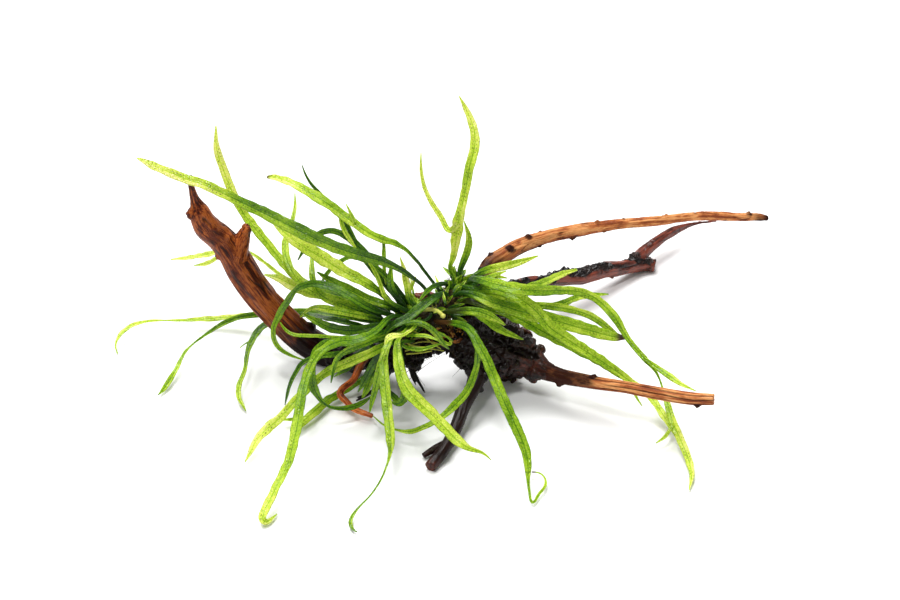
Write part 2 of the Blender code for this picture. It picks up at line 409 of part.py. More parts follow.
FRONT_FRONDS = (
    Frond("right_short_frond", (
        (476, 313, 42, 3.6), (492, 325, 38, 4), (507, 334, 33, 3.4),
        (522, 340, 28, 0.7)),
        tone=0.7, roll=-18),
    Frond("right_inner_frond", (
        (475, 311, 45, 3.6), (490, 316, 43, 3.6), (505, 325, 38, 0.7)),
        tone=0.4, roll=15),
    Frond("front_right_hanging_frond", (
        (467, 327, 46, 3), (478, 344, 44, 4), (487, 360, 40, 4),
        (494, 377, 35, 4.2), (502, 397, 30, 4.4), (510.5, 415, 25, 4.2), (519, 433, 20, 4),
        (525.5, 450, 15, 3.8), (528, 465, 11, 3), (528, 480, 7, 1.4), (530, 495, 3.5, 1),
        (532, 504, 1.7, 1.2), (538, 495, 2.2, 1.2), (546, 485, 2.6, 1.2), (544, 476, 3, 0.8),
        (538, 472, 3, 0.7), (532, 472, 2.6, 0.6)),
        lobes=((1, ((477, 365, 34, 2.6), (472, 381, 28, 2.8), (466, 393, 23, 3.2),
                    (455, 405, 18, 3.2), (443, 416, 14.5, 2.6), (430, 424, 12, 2.4),
                    (411, 432, 9, 2.2), (397, 430, 7.5, 0.9), (385, 426, 6, 0.8),
                    (373, 416, 4.5, 0.5))),),
        tone=0.7, roll=8, turn=-15),
    Frond("crown_leftward_frond", (
        (446, 293, 44, 1.8), (435, 298, 46, 3.6), (420, 309, 46, 4.2), (405, 320, 44, 4),
        (392, 330, 41, 3.2), (380, 340, 37, 0.7)),
        tone=0.8, roll=12),
    Frond("crown_dark_frond", (
        (447, 284, 44, 1.6), (436, 285, 47, 2.4), (426, 291, 48, 2.2), (419, 301, 47, 0.6)),
        tone=0.9, roll=-10),
    Frond("crown_yellow_frond", (
        (410, 302, 45, 2.4), (408, 291, 50, 3.2), (406, 278, 55, 2.6), (403, 266, 60, 1.6),
        (400, 257, 64, 0.4)),
        lobes=((1, ((413, 284, 52, 2), (417, 277, 55, 0.5))),),
        tone=0.12, roll=10),
    Frond("left_teal_arching_frond", (
        (383, 280, 54, 3), (366, 255, 65, 3.2), (350, 239, 70, 3),
        (335, 231, 71, 2.6), (320, 233, 67, 2.4), (308, 243, 60, 2.4), (298, 260, 51, 0.6)),
        tone=0.95, roll=-14),
    Frond("left_brown_tipped_frond", (
        (425, 272, 50, 1.5), (415, 259, 57, 1.6), (405, 249, 62, 2),
        (395, 243, 65, 3), (383, 240, 68, 3.4), (370, 234, 71, 3.6), (355, 224, 74, 3.8),
        (340, 213, 77, 4), (325, 202, 80, 4), (310, 193, 82, 4.2), (297, 186, 84, 3.8),
        (283, 179.5, 85, 3.6), (273, 177.5, 85, 3), (267, 177, 85, 1.2)),
        lobes=((7, ((342, 226, 71, 1.8), (350, 240, 65, 1.8), (357, 250, 61, 0.5))),
               (4, ((384, 255, 62, 1.8), (385, 270, 56, 1.6), (387, 284, 50, 0.5))),
               (6, ((351, 214, 79, 1.6), (346, 204, 83, 0.4)))),
        tone=0.35, roll=10, turn=-15),
    Frond("left_small_arc_frond", (
        (386, 277, 52, 2.8), (368, 262, 57, 2.8), (352, 257, 58, 2.4),
        (340, 262, 55, 2.2), (328, 272, 50, 2), (320, 286, 43, 0.5)),
        tone=0.6, roll=14),
    Frond("left_upright_dark_frond", (
        (391, 290, 50, 3), (390, 278, 54, 2.8), (392, 262, 60, 0.5)),
        tone=0.85, roll=-12),
    Frond("left_narrow_frond", (
        (385, 295, 48, 2.2), (381, 284, 51, 2), (374, 270, 57, 1.8),
        (365, 256, 62, 0.5)),
        tone=0.3, roll=16),
    Frond("left_parallel_frond", (
        (386, 305, 46, 3), (368, 298, 50, 3.6), (348, 289, 54, 3.8),
        (330, 280, 57, 3), (317, 272, 60, 0.6)),
        tone=0.5, roll=-8),
    Frond("left_under_frond", (
        (365, 284, 50, 4.4), (342, 271, 56, 5.4), (320, 257, 62, 6),
        (304, 247, 67, 5.4), (288, 236, 72, 4), (275, 223, 76, 2.4), (268, 215, 78, 0.6)),
        tone=0.2, roll=8),
    Frond("long_left_frond", (
        (425, 287, 48, 1.5), (415, 279, 52, 1.6), (400, 269, 56, 2.6),
        (385, 262, 60, 3.6), (370, 258, 64, 4.2), (350, 252, 69, 4.6), (330, 245, 73, 5),
        (310, 236, 78, 5.2), (290, 226, 82, 5.2), (270, 216, 86, 5), (255, 209, 89, 4.4),
        (237, 200, 93, 4), (220, 192, 97, 4), (205, 185, 100, 4), (188, 180, 102, 3.8),
        (170, 172.5, 105, 3.8), (152, 165, 108, 3.2), (141, 159.5, 109.5, 1.8), (137, 158, 110, 0.6)),
        tone=0.9, roll=-10, turn=20),
    Frond("left_draped_frond", (
        (365, 302, 46, 3.4), (335, 288, 48, 3.8), (312, 284, 47, 3.4),
        (299, 288, 44, 3.4), (289, 300, 38, 3.4), (280, 314, 32, 3.2), (273, 331, 26, 2.4),
        (277, 346, 20, 2), (290, 355, 17, 1.4), (304, 360, 15, 0.4)),
        tone=0.75, roll=10),
    Frond("left_short_frond", (
        (350, 313, 43, 3), (327, 309, 41, 3), (312, 308, 38, 2),
        (300, 317, 33, 0.5)),
        tone=0.3, roll=-14),
    Frond("left_low_frond", (
        (372, 329, 38, 3), (355, 331, 37, 3.6), (335, 329, 34, 4), (318, 322, 31, 3.2),
        (303, 314, 28, 0.7)),
        tone=0.75, roll=-10),
    Frond("left_thin_looping_frond", (
        (368, 338, 37, 1.4), (345, 338, 35, 1.8), (315, 336, 30, 1.8),
        (295, 335, 28, 1.6), (285, 330, 29, 1.4), (280, 322, 32, 0.4)),
        tone=0.3, roll=8),
    Frond("front_left_yellow_frond", (
        (372, 352, 37, 3.4), (350, 362, 33, 3.8), (324, 374, 28, 3.4),
        (308, 388, 23, 3.4), (294, 402, 18.5, 3.4), (280, 418, 13.5, 3.6), (268, 428, 10, 4),
        (258, 438, 7, 3.2), (252, 449, 4.5, 2.4), (245, 462, 1.7, 0.4)),
        lobes=((5, ((272, 420, 12, 1.6), (265, 424, 10.5, 0.4))),),
        tone=0.15, roll=-10),
    Frond("front_left_thin_frond", (
        (350, 351, 36, 2.2), (322, 356, 32, 2.2), (303, 362, 27, 2),
        (296, 372, 22, 1.8), (290, 384, 17, 1.6), (287, 395, 13, 1.2), (285, 405, 10, 0.4)),
        tone=0.7, roll=-8),
    Frond("front_left_looped_frond", (
        (355, 344, 41, 3.2), (335, 342, 39, 3.2), (320, 346, 35, 3),
        (313, 360, 29, 3.2), (312, 375, 23, 3.6), (314, 388, 17, 3.8), (320, 399, 12, 2),
        (327, 406, 9.5, 1), (335, 408, 8.5, 1.6), (348, 408, 8, 2.4), (360, 404, 8, 2.4),
        (372, 396, 9, 0.5)),
        tone=0.75, roll=10, turn=20),
    Frond("front_left_short_frond", (
        (365, 344, 41, 2), (347, 350, 37, 2.2), (336, 360, 32, 2),
        (333, 371, 28, 1.6), (331, 383, 24, 0.4)),
        tone=0.5, roll=-12),
    Frond("front_left_hanging_frond", (
        (368, 337, 44, 3.4), (355, 340, 44, 4), (337, 342, 42, 4),
        (317, 355, 38, 4), (306, 378, 32, 3.8), (301, 400, 27.5, 4.2), (298, 423, 22.5, 4.4),
        (293, 445, 18, 4.2), (288, 464, 14, 3.8), (279, 482, 10, 3.8), (270, 500, 6.5, 3.8),
        (263, 515, 3.6, 3.6), (264, 523, 2.4, 2.6), (270, 520, 2, 1.6), (277, 514, 1.6, 0.4)),
        tone=0.6, roll=8, turn=-10),
    Frond("crown_rightward_frond", (
        (404, 328, 44, 1.4), (412, 325, 47, 2.2), (425, 327, 47, 2.6), (435, 334, 44, 2.4),
        (442, 343, 40, 2), (449, 349, 36, 0.5)),
        lobes=((3, ((446, 338, 41, 1.4), (453, 343, 38, 0.4))),),
        tone=0.65, roll=10),
    Frond("crown_small_frond_upper", (
        (405, 337, 42, 1.2), (418, 337, 44, 1.8), (430, 338, 42, 1.6), (438, 341, 39, 0.4)),
        tone=0.4, roll=-14),
    Frond("crown_small_frond_lower", (
        (404, 345, 38, 1.2), (418, 349, 38, 1.8), (430, 347, 36, 1.4), (442, 343, 34, 0.4)),
        tone=0.5, roll=14),
    Frond("front_curled_frond", (
        (400, 344, 40, 1.6), (400, 358, 38, 3), (402, 374, 32, 3.4), (404, 387, 26, 3.4),
        (405, 396, 22, 3.2), (400, 404, 18.5, 3), (391, 402, 18, 0.6)),
        tone=0.8, roll=-10),
    Frond("front_glossy_frond", (
        (394, 338, 42, 1.8), (387, 348, 42, 3), (384, 362, 38, 4), (385, 382, 33, 4.4),
        (387, 402, 28, 4.6), (389, 420, 23.5, 4), (391, 440, 19, 3.6), (391, 450, 16, 2),
        (388, 462, 13, 0.9), (381, 480, 9, 0.8), (370, 496, 6, 0.7), (360, 506, 4, 0.8),
        (352, 516, 2.7, 1.4), (350, 524, 2, 1.6), (353, 530, 1.6, 0.9), (357, 532, 1.4, 0.4)),
        lobes=((1, ((382, 361, 38.5, 2.6), (378, 377, 32.5, 3), (375, 391, 27, 2.6),
                    (372, 403, 22.5, 1.8), (370, 413, 19.5, 0.5))),),
        tone=0.45, roll=14, turn=-20),
    Frond("front_bright_frond", (
        (398, 340, 44, 1.8), (397, 352, 44, 3.4), (399, 368, 40.5, 4.6), (405, 386, 35.5, 5),
        (416, 400, 31.5, 5), (432, 415, 27, 5.2), (446, 429, 23, 4.8), (457, 440, 20, 4.2),
        (470, 449, 17.4, 2.2), (482, 452, 15.4, 1.4), (491, 460, 12.4, 0.4)),
        tone=0.25, roll=-8),
    Frond("crown_pale_blade", (
        (401, 335, 44, 1.8), (394, 335, 46.4, 3.2), (388, 338, 46.8, 2.8), (385, 345, 45.4, 0.7)),
        tone=0.1, roll=8),
)


# --------------------------------------------------------------------------
# Settling: each frond keeps its place in the picture and moves nearer or
# further until nothing touches
# --------------------------------------------------------------------------

def limb_strand(name, route):
    """A limb's samples, which don't move."""
    knots = [spot(across, down, height) for across, down, height, _ in route]
    strand = Strand(name, name, knots, [width * MM for *_, width in route])
    strand.fixed = True
    return strand


def lump_strand(name, across, down, height, width):
    """A lump's samples, as a very short limb."""
    near, far = (across - 0.5, down, height, width), (across + 0.5, down, height, width)
    return limb_strand(name, (near, far))


def leaf_scars(rhizome):
    """Free points round the rhizome, each with its outward direction."""
    scars = []
    count = int((rhizome.along[-1] - 3 * MM) / SCAR_SPACING)
    for ring in range(count):
        place = 2 * MM + ring * SCAR_SPACING
        centre = Vector([np.interp(place, rhizome.along, rhizome.start[:, axis]) for axis in range(3)])
        beyond = place + 1 * MM
        ahead = Vector([np.interp(beyond, rhizome.along, rhizome.start[:, axis]) for axis in range(3)])
        forward = (ahead - centre).normalized()
        side = forward.cross(Vector((0, 0, 1))).normalized()
        top = side.cross(forward).normalized()
        radius = float(np.interp(place, rhizome.along, rhizome.widths)) / 2
        stagger = SCAR_ANGLES_DEG[1] - SCAR_ANGLES_DEG[0]
        for angle in SCAR_ANGLES_DEG:
            turn = math.radians(angle + (stagger / 2 if ring % 2 else 0))
            outward = top * math.cos(turn) + side * math.sin(turn)
            scars.append((centre + outward * (radius * SCAR_RISE + GAP), outward))
    return scars


def share_out_scars(fronds, scars):
    """Gives each frond a scar, so that the stalks run straight and don't cross."""
    targets = [spot(*frond.route[0][:3]) for frond in fronds]

    def cost(target, scar):
        place, outward = scar
        way = target - place
        return way.length ** 2 * (1.4 - 0.7 * outward.dot(way.normalized()))

    free = list(scars)
    given = []
    for target in targets:
        best = min(free, key=lambda scar: cost(target, scar))
        free.remove(best)
        given.append(best)
    for _ in range(SWAP_ROUNDS):
        for one, target in enumerate(targets):
            for other in range(one):
                now = cost(target, given[one]) + cost(targets[other], given[other])
                swapped = cost(target, given[other]) + cost(targets[other], given[one])
                if swapped < now:
                    given[one], given[other] = given[other], given[one]
            best = min(free, key=lambda scar: cost(target, scar))
            if cost(target, best) < cost(target, given[one]):
                free.append(given[one])
                free.remove(best)
                given[one] = best
    return given


def frond_strands(frond, scar):
    """The samples of a frond's blade, then of each lobe."""
    knots = [spot(across, down, height) for across, down, height, _ in frond.route]
    widths = [width * MM for *_, width in frond.route]
    place, outward = scar
    stalk_width = min(widths[0], STALK_WIDTH)
    lead = min(STALK_LEAD, (knots[0] - place).length * 0.4)
    knots = [place, place + outward * lead] + knots
    widths = [SCAR_WIDTH, stalk_width] + widths
    blade = Strand(frond.name, frond.name, knots, widths)
    strands = [blade]
    for number, (index, route) in enumerate(frond.lobes, 1):
        fork_knot = np.array(knots[index + 2])
        fork = int(np.argmin(np.linalg.norm(blade.start - fork_knot, axis=1)))
        lobe_knots = [Vector(blade.start[fork])]
        lobe_knots += [spot(across, down, height) for across, down, height, _ in route]
        lobe_widths = [0.55 * blade.widths[fork]] + [width * MM for *_, width in route]
        lobe = Strand(f"{frond.name}_lobe_{number}", frond.name, lobe_knots, lobe_widths, LOBE_ROOT, 0)
        lobe.parent = blade
        lobe.fork = fork
        strands.append(lobe)
    return strands


def crossings(order):
    """Sample pairs that overlap in the picture, with the depth they need between them.

    The crowded stalks at the crown aren't among them.
    """
    found = []
    for front_index, front in enumerate(order):
        for rear in order[:front_index]:
            if rear.family == front.family or (rear.fixed and front.fixed):
                continue
            apart = np.hypot(rear.across[:, None] - front.across[None, :],
                             rear.down[:, None] - front.down[None, :])
            close = apart < rear.half_px[:, None] + front.half_px[None, :] + CROSSING_MARGIN_PX
            if not rear.fixed:
                close &= ~rear.is_stalk[:, None]
            if not front.fixed:
                close &= ~front.is_stalk[None, :]
            rear_at, front_at = np.nonzero(close)
            if len(rear_at) == 0:
                continue
            need = np.full(len(rear_at), CROSSING_GAP)
            for strand, at, other, other_at in (
                    (rear, rear_at, front, front_at), (front, front_at, rear, rear_at)):
                half = strand.widths[at] / 2
                if strand.fixed:
                    off_px = apart[rear_at, front_at] - other.half_px[other_at]
                    off = np.clip(off_px / strand.half_px[at], 0, 1)
                    need = need + half * LIMB_ROOM * np.sqrt(1 - off ** 2)
                else:
                    need = need + half * CROSSING_TILT
            found.append((rear, rear_at, front, front_at, need))
    return found


def near_pairs(order, at_crown):
    """Sample pairs that lie near each other, with the room that they need.

    The room is given across the view and along it.  With at_crown, one of
    the two is in a stalk.
    """
    found = []
    for index, one in enumerate(order):
        for other in order[:index]:
            if one.family == other.family or (one.fixed and other.fixed):
                continue
            halves = one.widths[:, None] / 2 + other.widths[None, :] / 2
            apart = np.linalg.norm(one.points()[:, None] - other.points()[None, :], axis=2)
            close = apart < halves + NEAR_REACH
            if one.fixed or other.fixed:
                off_scar = other.along > SCAR_REACH if one.fixed else one.along > SCAR_REACH
                close &= off_scar[None, :] if one.fixed else off_scar[:, None]
            elif at_crown:
                close &= one.is_stalk[:, None] | other.is_stalk[None, :]
            one_at, other_at = np.nonzero(close)
            if len(one_at) == 0:
                continue
            room_across = np.full(len(one_at), SIDE_GAP)
            room_along = np.full(len(one_at), CROSSING_GAP)
            for strand, at in ((one, one_at), (other, other_at)):
                half = strand.widths[at] / 2
                room_across += half * (LIMB_ROOM if strand.fixed else 1)
                room_along += half * (LIMB_ROOM if strand.fixed else CROSSING_TILT)
            found.append((one, one_at, other, other_at, room_across, room_along))
    return found


def parting_push(between, lines, room_across, room_along):
    """The push that takes a point out of an oval room round another."""
    along = (between * lines).sum(axis=1) + 0.01 * MM
    across = between - lines * along[:, None]
    reach = np.hypot(np.linalg.norm(across, axis=1) / room_across, along / room_along)
    slope = across / room_across[:, None] ** 2 + lines * (along / room_along ** 2)[:, None]
    steep = (slope ** 2).sum(axis=1)
    size = np.clip(1 - reach, 0, None) * reach / steep
    return slope * size[:, None]


def shares(one, other):
    """How two strands share the move that they need: a fixed one doesn't give way."""
    if one.fixed:
        return 0.0, 1.0
    return (1.0, 0.0) if other.fixed else (0.5, 0.5)


def order_pushes(crossing, depths, pushes):
    """Pushes that set crossing fronds in order along the view."""
    for rear, rear_at, front, front_at, need in crossing:
        short = need - (depths[rear.name][rear_at] - depths[front.name][front_at])
        short = np.clip(short, 0, None)
        for strand, at, share in zip((rear, front), (rear_at, front_at), shares(rear, front)):
            worst = np.zeros(len(strand.along))
            np.maximum.at(worst, at, short * share)
            far, near = pushes[strand.name][:2]
            side = far if strand is rear else near
            np.maximum(side, worst, out=side)


def parting_pushes(near, places, pushes):
    """Pushes that part strands that are too near each other."""
    for one, one_at, other, other_at, room_across, room_along in near:
        between = places[one.name][one_at] - places[other.name][other_at]
        push = parting_push(between, one.lines[one_at], room_across, room_along)
        pressed = np.linalg.norm(push, axis=1) > 0
        for strand, at, share in zip((one, other), (one_at, other_at), shares(one, other)):
            _, _, aside, count = pushes[strand.name]
            np.add.at(aside, at, push * (share if strand is one else -share))
            np.add.at(count, at, pressed)


def settle(order):
    """Moves the fronds until they are clear of each other and of the wood.

    First they come to their order along the view, then only what is still
    too near is parted.
    """
    crossing = crossings(order)
    moving = [strand for strand in order if not strand.fixed]
    for stage in range(ORDER_STAGES + PARTING_STAGES):
        ordering = stage < ORDER_STAGES
        near = near_pairs(order, at_crown=ordering)
        for _ in range(STAGE_ROUNDS):
            places = {strand.name: strand.points() for strand in order}
            depths = {strand.name: strand.depths() for strand in order}
            pushes = {}
            for strand in order:
                count = len(strand.along)
                pushes[strand.name] = (np.zeros(count), np.zeros(count),
                                       np.zeros((count, 3)), np.zeros(count))
            if ordering:
                order_pushes(crossing, depths, pushes)
            parting_pushes(near, places, pushes)
            for strand in moving:
                far, close, aside, count = pushes[strand.name]
                push = (far - close)[:, None] * strand.lines
                push += aside / np.maximum(count, 1)[:, None]
                strand.give_way(push, SMOOTHING if ordering else 0.0)
                strand.keep_off_ground()


def settled_fronds():
    """Every frond with its strands, once they have all made room."""
    rhizome = limb_strand("rhizome", RHIZOME)
    scars = leaf_scars(rhizome)
    every = BEHIND_ARM + MIDDLE_REAR + RIGHT_FRONDS + FRONT_FRONDS + BEHIND_TWIG
    given = share_out_scars(every, scars)
    groups = {frond.name: frond_strands(frond, scar) for frond, scar in zip(every, given)}

    def strands(fronds):
        return [strand for frond in fronds for strand in groups[frond.name]]

    order = [limb_strand("rear_lower", REAR_LOWER_BRANCH), limb_strand("rear_fork", REAR_LOWER_FORK),
             limb_strand("rear_upper", REAR_UPPER_BRANCH)]
    order += strands(BEHIND_ARM)
    order += [limb_strand("left_arm", LEFT_ARM), limb_strand("arm_stub", LEFT_ARM_STUB)]
    order += strands(MIDDLE_REAR)
    order += [limb_strand("hub", HUB_SPINE), rhizome]
    order += [lump_strand(f"lump_{number}", *lump) for number, lump in enumerate(HUB_LUMPS)]
    order += strands(RIGHT_FRONDS + BEHIND_TWIG)
    order += [limb_strand("front_right", FRONT_RIGHT_BRANCH), limb_strand("front_leg", FRONT_LEG),
              limb_strand("toe", FRONT_LEG_TOE), limb_strand("red_twig", RED_TWIG),
              limb_strand("dark_twig", DARK_TWIG), limb_strand("root_twig", ROOT_TWIG),
              limb_strand("young_shoot", YOUNG_SHOOT)]
    order += strands(FRONT_FRONDS)
    settle(order)
    return [(frond, groups[frond.name]) for frond in every]


# --------------------------------------------------------------------------
# Building meshes
# --------------------------------------------------------------------------

def clear_scene():
    """Removes the objects that a new Blender file starts with."""
    for item in list(bpy.data.objects):
        bpy.data.objects.remove(item, do_unlink=True)


def finish(name, color, roughness):
    """A plain material with a colour and a roughness."""
    material = bpy.data.materials.new(name)
    material.use_nodes = True
    shader = material.node_tree.nodes["Principled BSDF"]
    shader.inputs["Base Color"].default_value = (*color, 1)
    shader.inputs["Roughness"].default_value = roughness
    shader.inputs["Metallic"].default_value = 0.0
    return material


def put(name, bm, material=None):
    """Turns a bmesh into an object of the scene."""
    bmesh.ops.recalc_face_normals(bm, faces=bm.faces)
    mesh = bpy.data.meshes.new(name)
    bm.to_mesh(mesh)
    bm.free()
    if material:
        mesh.materials.append(material)
    item = bpy.data.objects.new(name, mesh)
    bpy.context.scene.collection.objects.link(item)
    return item


def as_cutter(item):
    """Marks an object as a tool that isn't part of the model."""
    item.hide_render = True
    item.display_type = "WIRE"
    return item


def combine(item, other, operation):
    """Adds a Boolean with another object."""
    modifier = item.modifiers.new(f"{operation.lower()} {other.name}", "BOOLEAN")
    modifier.operation = operation
    modifier.solver = "EXACT"
    modifier.object = other


def loft(stations, sides, shape):
    """Extrudes a round face from station to station.

    shape(station, x, y) gives the place of the section's point (x, y).
    """
    bm = bmesh.new()
    section = bm.verts.layers.float_vector.new("section")
    bmesh.ops.create_circle(bm, cap_ends=True, segments=sides, radius=1.0)
    for vert in bm.verts:
        vert[section] = vert.co
        vert.co = shape(stations[0], vert.co.x, vert.co.y)
    end = bm.faces[:][0]
    for station in stations[1:]:
        region = [end, *end.edges, *end.verts]
        grown = bmesh.ops.extrude_face_region(bm, geom=region)["geom"]
        for item in grown:
            if isinstance(item, bmesh.types.BMVert):
                place = item[section]
                item.co = shape(station, place.x, place.y)
        end = next(item for item in grown if isinstance(item, bmesh.types.BMFace))
    return bm


def headings(points):
    """Unit tangents of a run of points."""
    way = np.gradient(points, axis=0)
    return way / np.linalg.norm(way, axis=1)[:, None]


# --------------------------------------------------------------------------
# Fronds
# --------------------------------------------------------------------------

@dataclass(frozen=True)
class BladeStation:
    """A place along a blade, with its side and face directions."""

    centre: Vector
    side: Vector
    face: Vector
    half_width: float
    half_thickness: float


def station_places(along, tangents):
    """Places along a blade, closer together where it bends."""
    turns = np.arccos(np.clip((tangents[1:] * tangents[:-1]).sum(axis=1), -1, 1))
    effort = np.concatenate([[0.0], np.cumsum(np.diff(along) / BLADE_STEP + turns / BLADE_BEND)])
    count = max(3, math.ceil(effort[-1])) + 1
    return np.interp(np.linspace(0, effort[-1], count), effort, along)


def blade_stations(frond, strand):
    """Stations along a blade: flat, facing the light, rolled a little."""
    points = strand.points()
    tangents = headings(points)
    stations = []
    for place in station_places(strand.along, tangents):
        centre = Vector([np.interp(place, strand.along, points[:, axis]) for axis in range(3)])
        way = Vector([np.interp(place, strand.along, tangents[:, axis]) for axis in range(3)])
        way.normalize()
        width = float(np.interp(place, strand.along, strand.widths))
        side = BLADE_FACING.cross(way).normalized()
        share = place / strand.along[-1]
        roll = Matrix.Rotation(math.radians(frond.roll + frond.turn * (share - 0.5)), 3, way)
        side = roll @ side
        thickness = min(BLADE_THICKNESS, max(width, 0.5 * MM))
        stations.append(BladeStation(centre, side, way.cross(side), width / 2, thickness / 2))
    return stations


def blade_point(station, x, y):
    """The section's point on a blade: a flat lozenge with a thicker midrib."""
    across = station.side * (x * station.half_width)
    return station.centre + across + station.face * (y * station.half_thickness)


def make_frond(frond, strands, material):
    """A frond's blade with its lobes joined on."""
    stations = blade_stations(frond, strands[0])
    item = put(frond.name, loft(stations, 4, blade_point), material)
    for lobe in strands[1:]:
        cutter = put(lobe.name, loft(blade_stations(frond, lobe), 4, blade_point))
        combine(item, as_cutter(cutter), "UNION")
    return item


def frond_color(tone):
    """Yellow-green to dark green."""
    pale, dark = (0.55, 0.68, 0.14), (0.05, 0.16, 0.03)
    return tuple(a * (1 - tone) + b * tone for a, b in zip(pale, dark))


# --------------------------------------------------------------------------
# Wood
# --------------------------------------------------------------------------

@dataclass(frozen=True)
class LimbStation:
    """A place along a limb, with two directions across it."""

    centre: Vector
    side: Vector
    top: Vector
    radius: float
    along: float


def limb_stations(route, start_mm=0.0, end_mm=None, step=LIMB_STEP):
    """Stations from one place along a limb's route to another."""
    strand = limb_strand("limb", route)
    tangents = headings(strand.start)
    start = start_mm * MM
    end = strand.along[-1] if end_mm is None else end_mm * MM
    count = max(2, int(round((end - start) / step)) + 1)
    stations = []
    for place in np.linspace(start, end, count):
        centre = Vector([np.interp(place, strand.along, strand.start[:, axis]) for axis in range(3)])
        way = Vector([np.interp(place, strand.along, tangents[:, axis]) for axis in range(3)])
        way.normalize()
        radius = float(np.interp(place, strand.along, strand.widths)) / 2
        side = way.cross(TO_VIEWER).normalized()
        stations.append(LimbStation(centre, side, side.cross(way), radius, place))
    return stations


def limb_point(station, x, y):
    """The section's point on a limb, with shallow lengthwise ridges."""
    angle = math.atan2(y, x)
    twist = station.along / (30 * MM)
    ridges = 0.09 * math.sin(3 * angle + 2 * twist) + 0.05 * math.sin(5 * angle - 3 * twist + 1)
    lumps = 0.06 * math.sin(station.along / (4.1 * MM) + 2 * angle)
    reach = station.radius * (1 + ridges + lumps)
    across = station.side * (math.cos(angle) * reach)
    return station.centre + across + station.top * (math.sin(angle) * reach)


def make_limb(name, route, material=None, start_mm=0.0, end_mm=None):
    """A tapering limb between two places along its route."""
    stations = limb_stations(route, start_mm, end_mm)
    return put(name, loft(stations, LIMB_SIDES, limb_point), material)


def make_knots(name, route, knots):
    """Small knots and bud scars that stand out of a limb."""
    stations = limb_stations(route, step=1 * MM)
    bm = bmesh.new()
    for share, turn, size in knots:
        station = stations[int(share * (len(stations) - 1))]
        angle = math.radians(turn)
        place = limb_point(station, math.cos(angle), math.sin(angle))
        radius = size * MM / 2
        inward = (station.centre - place).normalized() * radius * 0.3
        bmesh.ops.create_icosphere(
            bm, subdivisions=1, radius=radius, matrix=Matrix.Translation(place + inward))
    return as_cutter(put(name, bm))


def make_lump(name, across, down, height, width):
    """A rounded crumbly lump."""
    bm = bmesh.new()
    bmesh.ops.create_icosphere(bm, subdivisions=2, radius=width * MM / 2)
    for vert in bm.verts:
        way = vert.co.normalized()
        crumble = math.sin(5 * way.x + across) * math.sin(6 * way.y + down) * math.cos(5 * way.z)
        vert.co *= 1 + 0.16 * crumble
    bmesh.ops.translate(bm, verts=bm.verts, vec=spot(across, down, height))
    return as_cutter(put(name, bm))


def ground_cutter():
    """A slab below the ground, which wears the feet flat."""
    bm = bmesh.new()
    size = Matrix.Diagonal((0.5, 0.5, GROUND_SLAB, 1))
    bmesh.ops.create_cube(bm, size=1.0, matrix=Matrix.Translation((0, 0, -GROUND_SLAB / 2)) @ size)
    return as_cutter(put("ground_cutter", bm))


def make_wood():
    """The driftwood: the hub and the limbs that fork from it."""
    reddish = finish("reddish_wood", (0.20, 0.07, 0.035), 0.4)
    orange = finish("orange_wood", (0.42, 0.19, 0.08), 0.5)
    dark = finish("dark_wood", (0.045, 0.022, 0.015), 0.35)
    ground = ground_cutter()

    hub = make_limb("hub", HUB_SPINE, dark)
    for number, lump in enumerate(HUB_LUMPS, 1):
        combine(hub, make_lump(f"hub_lump_{number}", *lump), "UNION")
    combine(hub, as_cutter(make_limb("hub_spike", HUB_SPIKE)), "UNION")
    bed_route = [(*point[:3], point[3] + 2 * BED_GAP / MM) for point in RHIZOME]
    bed = as_cutter(make_limb("rhizome_bed", bed_route))

    limbs = (
        ("left_arm", LEFT_ARM, LEFT_ARM_PARTING, reddish, LEFT_ARM_KNOTS),
        ("rear_upper_branch", REAR_UPPER_BRANCH, REAR_UPPER_PARTING, orange, REAR_UPPER_KNOTS),
        ("rear_lower_branch", REAR_LOWER_BRANCH, REAR_LOWER_PARTING, dark, REAR_LOWER_KNOTS),
        ("front_right_branch", FRONT_RIGHT_BRANCH, FRONT_RIGHT_PARTING, orange, FRONT_RIGHT_KNOTS),
        ("front_leg", FRONT_LEG, FRONT_LEG_PARTING, dark, ()),
        ("red_twig", RED_TWIG, RED_TWIG_PARTING, reddish, ()),
        ("dark_twig", DARK_TWIG, DARK_TWIG_PARTING, dark, ()),
        ("root_twig", ROOT_TWIG, ROOT_TWIG_PARTING, dark, ()),
    )
    forks = {"left_arm": LEFT_ARM_STUB, "rear_lower_branch": REAR_LOWER_FORK, "front_leg": FRONT_LEG_TOE}
    for name, route, parting, material, knots in limbs:
        collar = as_cutter(make_limb(f"{name}_collar", route, end_mm=parting))
        combine(hub, collar, "UNION")
        limb = make_limb(name, route, material, start_mm=parting + GAP / MM)
        if name in forks:
            combine(limb, as_cutter(make_limb(f"{name}_fork", forks[name])), "UNION")
        if knots:
            combine(limb, make_knots(f"{name}_knots", route, knots), "UNION")
        combine(limb, ground, "DIFFERENCE")
    combine(hub, bed, "DIFFERENCE")
    combine(hub, ground, "DIFFERENCE")


def make_plant():
    """The rhizome, its young shoot and the fronds."""
    rhizome_finish = finish("rhizome_brown", (0.13, 0.09, 0.03), 0.7)
    make_limb("rhizome", RHIZOME, rhizome_finish)
    make_limb("young_shoot", YOUNG_SHOOT, finish("young_green", (0.3, 0.4, 0.08), 0.4))
    for frond, strands in settled_fronds():
        material = finish(f"{frond.name}_green", frond_color(frond.tone), 0.35)
        make_frond(frond, strands, material)


def main():
    """Builds the whole piece."""
    clear_scene()
    make_wood()
    make_plant()


main()
